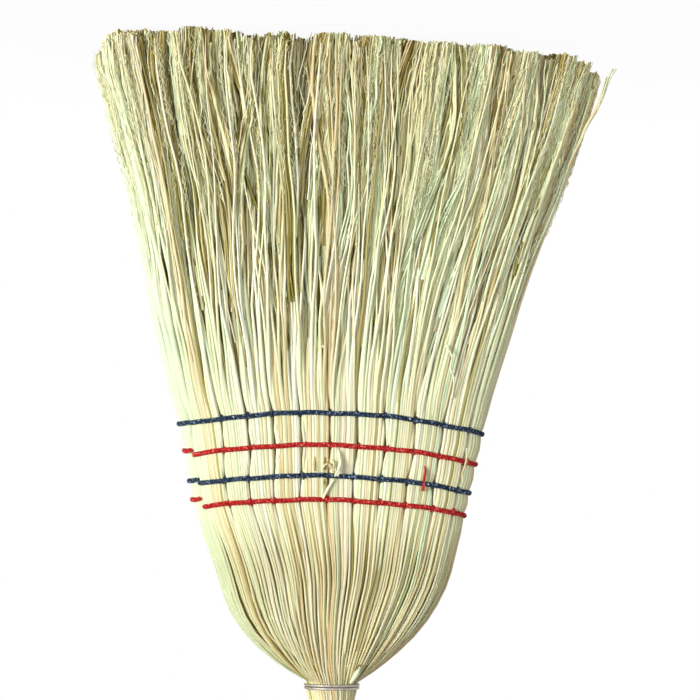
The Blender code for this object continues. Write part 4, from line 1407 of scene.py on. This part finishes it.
def wisp_meshes(index, rng):
    """Tubes of the outer wisps, which take more beige and brown tints toward the -X edge, away from the
    key lamp, as painted shade; of the darker ones inside the head, whose tints are painted shade; and of
    the crimped branchlets.
    """
    toward_shade = (min(index, BUNCHES - index) / (COLUMNS + 1)) ** 3
    outer_shares = (20 - 10 * toward_shade, 26, 36 - 16 * toward_shade, 13 + 20 * toward_shade, 4 + 8 * toward_shade, 1)
    meshes = []
    for (count, each), steps, depths, shares in (
        (OUTER_WISPS, OUTER_WISP_STEPS, OUTER_WISP_DEPTHS, outer_shares),
        (INNER_WISPS, INNER_WISP_STEPS, INNER_WISP_DEPTHS, INNER_WISP_SHADE_TINT_SHARES),
    ):
        guides = wisps(index, rng, count, each, steps, depths)
        tint = np.repeat(straw_tint(rng, count, shares), each)
        own = straw_tint(rng, len(tint), shares)
        tint = np.where(rng.uniform(0, 1, len(tint)) < WISP_TINT_SHARE, tint, own)
        tint = (tint + rng.normal(0, WISP_TINT_SPREAD, len(tint))).clip(0.0, 1.0)
        if steps == OUTER_WISP_STEPS:
            tint = tufted(rng, tint, guides[0][:, -1])
        meshes.append(tubes((*guides, tint), WISP_SIDES, *WISP_CRINKLE, STRAW))
    guides = fuzz(index, rng, FUZZ_COUNT)
    tint = straw_tint(rng, FUZZ_COUNT, FUZZ_TINT_SHARES)
    meshes.append(tubes((*guides, tint), WISP_SIDES, *FUZZ_CRINKLE, STRAW))
    return meshes


BUNCH_SEED = 100

for index in range(BUNCHES):
    rng = np.random.default_rng(BUNCH_SEED + index)
    name = bunch_name(index)
    meshes = [*stalk_meshes(index, rng), *wisp_meshes(index, rng)]
    for loose_piece in LOOSE_PIECES.get(name, ()):
        guides = laid_on_front(*loose_piece)
        meshes.append(tubes(guides, PIECE_SIDES, *NO_CRINKLE, STRAW))
    piece = joined(name + "_straw", meshes)
    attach(piece, "root")
    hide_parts(name)

# Binding wire: one length of galvanised steel wire wound round the neck in three bindings of
# two touching turns, with half a turn between them. Its ends butt against two nails.
WIRE_RADIUS = 0.00096
WIRE_PITCH = 0.00196
WIRE_TURNS = 2
RISER_TURNS = 0.5
BINDING_RISES = (0.00118, 0.051, 0.096)
WIRE_STEPS = 48
WIRE_SIDES = 14
WIRE_SEAT_SHARE = 0.7
NAIL_BUNCHES = (5, 6)
NAIL_LEAD = 0.0028
WIRE_STRETCH = (900.0, 40.0, 1.0)
STEEL_TINTS = ((0.0, (0.22, 0.20, 0.17)), (0.5, (0.38, 0.35, 0.30)), (1.0, (0.55, 0.51, 0.45)))


def metal_material(name, drawn, stretch):
    """Galvanised steel: dull zinc, with fine lines along a drawn wire or cloudy patches."""
    material, tree, shader = new_material(name)
    shader.inputs["Metallic"].default_value = 1.0
    if drawn:
        place = strand_map(tree)
    else:
        place = tree.nodes.new("ShaderNodeTexCoord").outputs["Object"]
    tone = streaked(tree, place, stretch, (0.1, 0.95), (0.15, 0.0001), (0.42, 0.68))
    ramp = ramp_of(tree, STEEL_TINTS)
    connect(tree, ((tone, ramp.inputs["Fac"]), (ramp.outputs["Color"], shader.inputs["Base Color"])))
    return material


def binding_wire():
    """Guide of the wire, wound upwards from the lower nail to the upper one."""
    turns = len(BINDING_RISES) * WIRE_TURNS + (len(BINDING_RISES) - 1) * RISER_TURNS
    t = np.linspace(0, turns, int(turns * WIRE_STEPS) + 1)
    period = WIRE_TURNS + RISER_TURNS
    binding = np.minimum((t / period).astype(int), len(BINDING_RISES) - 1)
    wound = t - binding * period
    starts = np.array(BINDING_RISES)
    low = starts[binding] + np.minimum(wound, WIRE_TURNS) * WIRE_PITCH
    share = smooth(between(wound, WIRE_TURNS, period))
    high = starts[np.minimum(binding + 1, len(starts) - 1)]
    height = band_height + np.where(wound > WIRE_TURNS, mix(low, high, share), low)
    radius = outline(height)[0] + WIRE_RADIUS * WIRE_SEAT_SHARE
    bunch = 2 * math.pi / BUNCHES
    first = NAIL_BUNCHES[0] * bunch + NAIL_LEAD / radius[0]
    last = NAIL_BUNCHES[1] * bunch - NAIL_LEAD / radius[-1] + 2 * math.pi * round(turns)
    angle = np.linspace(first, last, len(t))
    points = np.stack([radius * np.cos(angle), radius * np.sin(angle), height], -1)
    along = np.abs(np.mod(t, 2.0) - 1.0)
    thick = np.full((1, len(t)), WIRE_RADIUS)
    return points[None], thick, np.zeros_like(thick), along[None], np.array([0.5])


wire_metal = metal_material("galvanised_wire", True, WIRE_STRETCH)
piece = joined("wound_wire", [tubes(binding_wire(), WIRE_SIDES, *NO_CRINKLE, wire_metal)])
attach(piece, "root")
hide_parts("binding_wire")

# Nails: two small round nails of galvanised steel, driven through the stalks into the handle
# at the back of the neck, where they hold the two ends of the wire.
NAIL_STRETCH = (900.0, 900.0, 900.0)

nail_metal = metal_material("nail_steel", False, NAIL_STRETCH)
for name in ("nail_lower", "nail_upper"):
    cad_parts[name].material_slots[0].material = nail_metal

# Seams: four rows of three-ply twine, two blue and two red, laid round the flattened head and
# drawn tight by stitches that pass through it. Round the +X edge each row lies a little nearer
# the tips, because it is a separate end of the twine.
TWINE_PLIES = 3
PLY_RADIUS = 0.00088
PLY_OFFSET = 0.00098
PLY_TURN = 0.0068
TWINE_STEP = 0.0010
TWINE_SAMPLES = 1500
TWINE_SIDES = 8
TWINE_DIP_SHARE = 0.42
TWINE_PROUD = 0.0006
TWINE_DIVE = 0.0040
TWINE_DIVE_RUN = 0.0022
TWINE_WOBBLES = ((0.00025, 0.011), (0.00018, 0.0043))
ROW_OVERLAP = 0.02
EDGE_SHIFTS = (0.0008, 0.0034, 0.0028, 0.0055)
STITCH_PLIES = 2
STITCH_PLY_RADIUS = 0.00046
STITCH_PLY_OFFSET = 0.0004
STITCH_PLY_TURN = 0.0050
STITCH_STEPS = 13
STITCH_SIDES = 6
STITCH_REACH = 0.0025
STITCH_REACH_SHARES = (0.75, 1.1)
STITCH_LEANS = (0.0004, 0.0014)
STITCH_STRAY = 0.0003
STITCH_STRAY_ASIDE = 0.015
STITCH_PROUD = 0.0013
STITCH_DIVE = 0.0036
TWINE_FOLD = 0.080
# loose tail of the lower red row on the photographed face
RED_TAIL = (
    ((-0.0560, 0.2885, -0.0010), (-0.0567, 0.2920, 0.0008), (-0.0560, 0.2960, 0.0008),
     (-0.0556, 0.3000, 0.0010), (-0.0553, 0.3060, 0.0006)),
    (0.0004, 0.0005, 0.0004), 0.8, 3, 0.0006,
)
TWINE_STRETCH = (380.0, 70.0, 1.0)
TWINE_TINTS = {
    "blue_twine": (
        (0.0, (0.002, 0.005, 0.013)),
        (0.5, (0.008, 0.020, 0.044)),
        (0.72, (0.05, 0.09, 0.15)),
        (1.0, (0.46, 0.55, 0.68)),
    ),
    "red_twine": (
        (0.0, (0.18, 0.003, 0.002)),
        (0.5, (0.42, 0.006, 0.006)),
        (0.75, (0.56, 0.04, 0.03)),
        (1.0, (0.80, 0.34, 0.29)),
    ),
}


def twine_material(name):
    """Dyed twine: matt fibre, darker between its plies, with paler specks scattered along them."""
    material, tree, shader = new_material("dyed_" + name)
    shader.inputs["Specular IOR Level"].default_value = 0.15
    shader.inputs["Sheen Weight"].default_value = 0.10
    shader.inputs["Sheen Roughness"].default_value = 0.5
    chart = strand_map(tree)
    tone = streaked(tree, chart, TWINE_STRETCH, (0.0, 1.0), (0.5, 0.0003), (0.75, 0.95))
    ramp = ramp_of(tree, TWINE_TINTS[name])
    connect(tree, ((tone, ramp.inputs["Fac"]), (ramp.outputs["Color"], shader.inputs["Base Color"])))
    return material


def plied(points, outward, plies, offset, radius, turn, phase):
    """Guides of the plies twisted round a line: outward is each point's direction off the head."""
    along = np.gradient(points, axis=0)
    along /= np.linalg.norm(along, axis=1, keepdims=True)
    outward = outward - along * np.sum(outward * along, 1, keepdims=True)
    outward /= np.linalg.norm(outward, axis=1, keepdims=True)
    across = np.cross(along, outward)
    steps = np.linalg.norm(np.diff(points, axis=0), axis=1)
    run = np.concatenate([[0.0], np.cumsum(steps)])
    lines = []
    for ply in range(plies):
        angle = (2 * np.pi * (run / turn + ply / plies) + phase)[:, None]
        lines.append(points + offset * (np.cos(angle) * outward + np.sin(angle) * across))
    fold = np.tile(np.abs(np.mod(run / TWINE_FOLD, 2.0) - 1.0), (plies, 1))
    thick = np.full((plies, len(points)), radius)
    return np.stack(lines), thick, np.zeros_like(thick), fold, np.linspace(0.2, 0.8, plies)


OUTWARD_STEP = 0.001


def off_head(place, height, pull):
    """Points on the head with their directions outwards."""
    points = head_point(place, height, 1.0, pull)
    out = points - head_point(place, height, 1.0, pull + OUTWARD_STEP)
    return points, out / np.linalg.norm(out, axis=1, keepdims=True)


def twine_depth(place, row):
    """How deep the middle of a row's twine lies: it half follows the dip at each stitch."""
    sink = seam_sink(place, np.full_like(place, seam_heights[row]))
    return GROOVE_DEPTH + TWINE_DIP_SHARE * (sink - GROOVE_DEPTH) - TWINE_PROUD


def twine_run(rng, first, last, row, shift):
    """Plies of one length of a row's twine, whose ends go into the head."""
    fine = np.linspace(first, last, TWINE_SAMPLES)
    run = arc_of(fine, seam_heights[row])
    count = int(run[-1] / TWINE_STEP)
    at = np.linspace(0, run[-1], count)
    place = np.interp(at, run, fine)
    dive = np.minimum(at, run[-1] - at)
    (slow, slow_run), (quick, quick_run) = TWINE_WOBBLES
    wobble = slow * np.sin(at / slow_run + rng.uniform(0, 6)) + quick * np.sin(at / quick_run)
    height = seam_heights[row] - shift + wobble
    pull = twine_depth(place, row) + TWINE_DIVE * (1 - between(dive, 0.0, TWINE_DIVE_RUN)) ** 2
    points, outward = off_head(place, height, pull)
    return plied(points, outward, TWINE_PLIES, PLY_OFFSET, PLY_RADIUS, PLY_TURN, rng.uniform(0, 6))


def stitch(rng, place, row):
    """Plies of one stitch: it comes up beside the row, crosses it and goes down again."""
    t = np.linspace(-1, 1, STITCH_STEPS)
    lean = rng.uniform(*STITCH_LEANS) * rng.choice((-1, 1), p=(0.2, 0.8))
    reach = STITCH_REACH * rng.uniform(*STITCH_REACH_SHARES)
    height = seam_heights[row] + reach * np.sin(t * np.pi / 2) + rng.normal(0, STITCH_STRAY)
    depth = twine_depth(np.array([place]), row)[0]
    pull = depth - STITCH_PROUD * (1 - t**2) + STITCH_DIVE * np.abs(t) ** 3
    places = np.full_like(t, place)
    points = head_point(places, height, 1.0, pull, lean * t)
    outward = off_head(places, height, pull)[1]
    twist = (STITCH_PLY_OFFSET, STITCH_PLY_RADIUS, STITCH_PLY_TURN)
    return plied(points, outward, STITCH_PLIES, *twist, rng.uniform(0, 6))


SEAM_SEED = 500
TWINES = {name: twine_material(name) for name in TWINE_TINTS}

for row, name in enumerate(seam_names):
    rng = np.random.default_rng(SEAM_SEED + row)
    slot_name = "red_twine" if row % 2 else "blue_twine"
    material = TWINES[slot_name]
    front = EVEN_STITCHES + STITCH_DRIFT[row]
    back = BUNCHES - front
    edge = (front[0] - ROW_OVERLAP, back[0] + BUNCHES + ROW_OVERLAP)
    meshes = []
    for first, last, shift in ((back[0], front[0], 0.0), (*edge, EDGE_SHIFTS[row])):
        guides = twine_run(rng, first, last, row, shift)
        meshes.append(tubes(guides, TWINE_SIDES, *NO_CRINKLE, material))
    if name == "seam_red_lower":
        guides = laid_on_front(*RED_TAIL)
        meshes.append(tubes(guides, PIECE_SIDES, *NO_CRINKLE, material))
    for place in (*front[1:], *back[1:]):
        for _ in range(rng.choice((1, 2), p=(0.7, 0.3))):
            guides = stitch(rng, place + rng.normal(0, STITCH_STRAY_ASIDE), row)
            meshes.append(tubes(guides, STITCH_SIDES, *NO_CRINKLE, material))
    piece = joined(name + "_twine", meshes)
    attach(piece, "root")
    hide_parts(name)
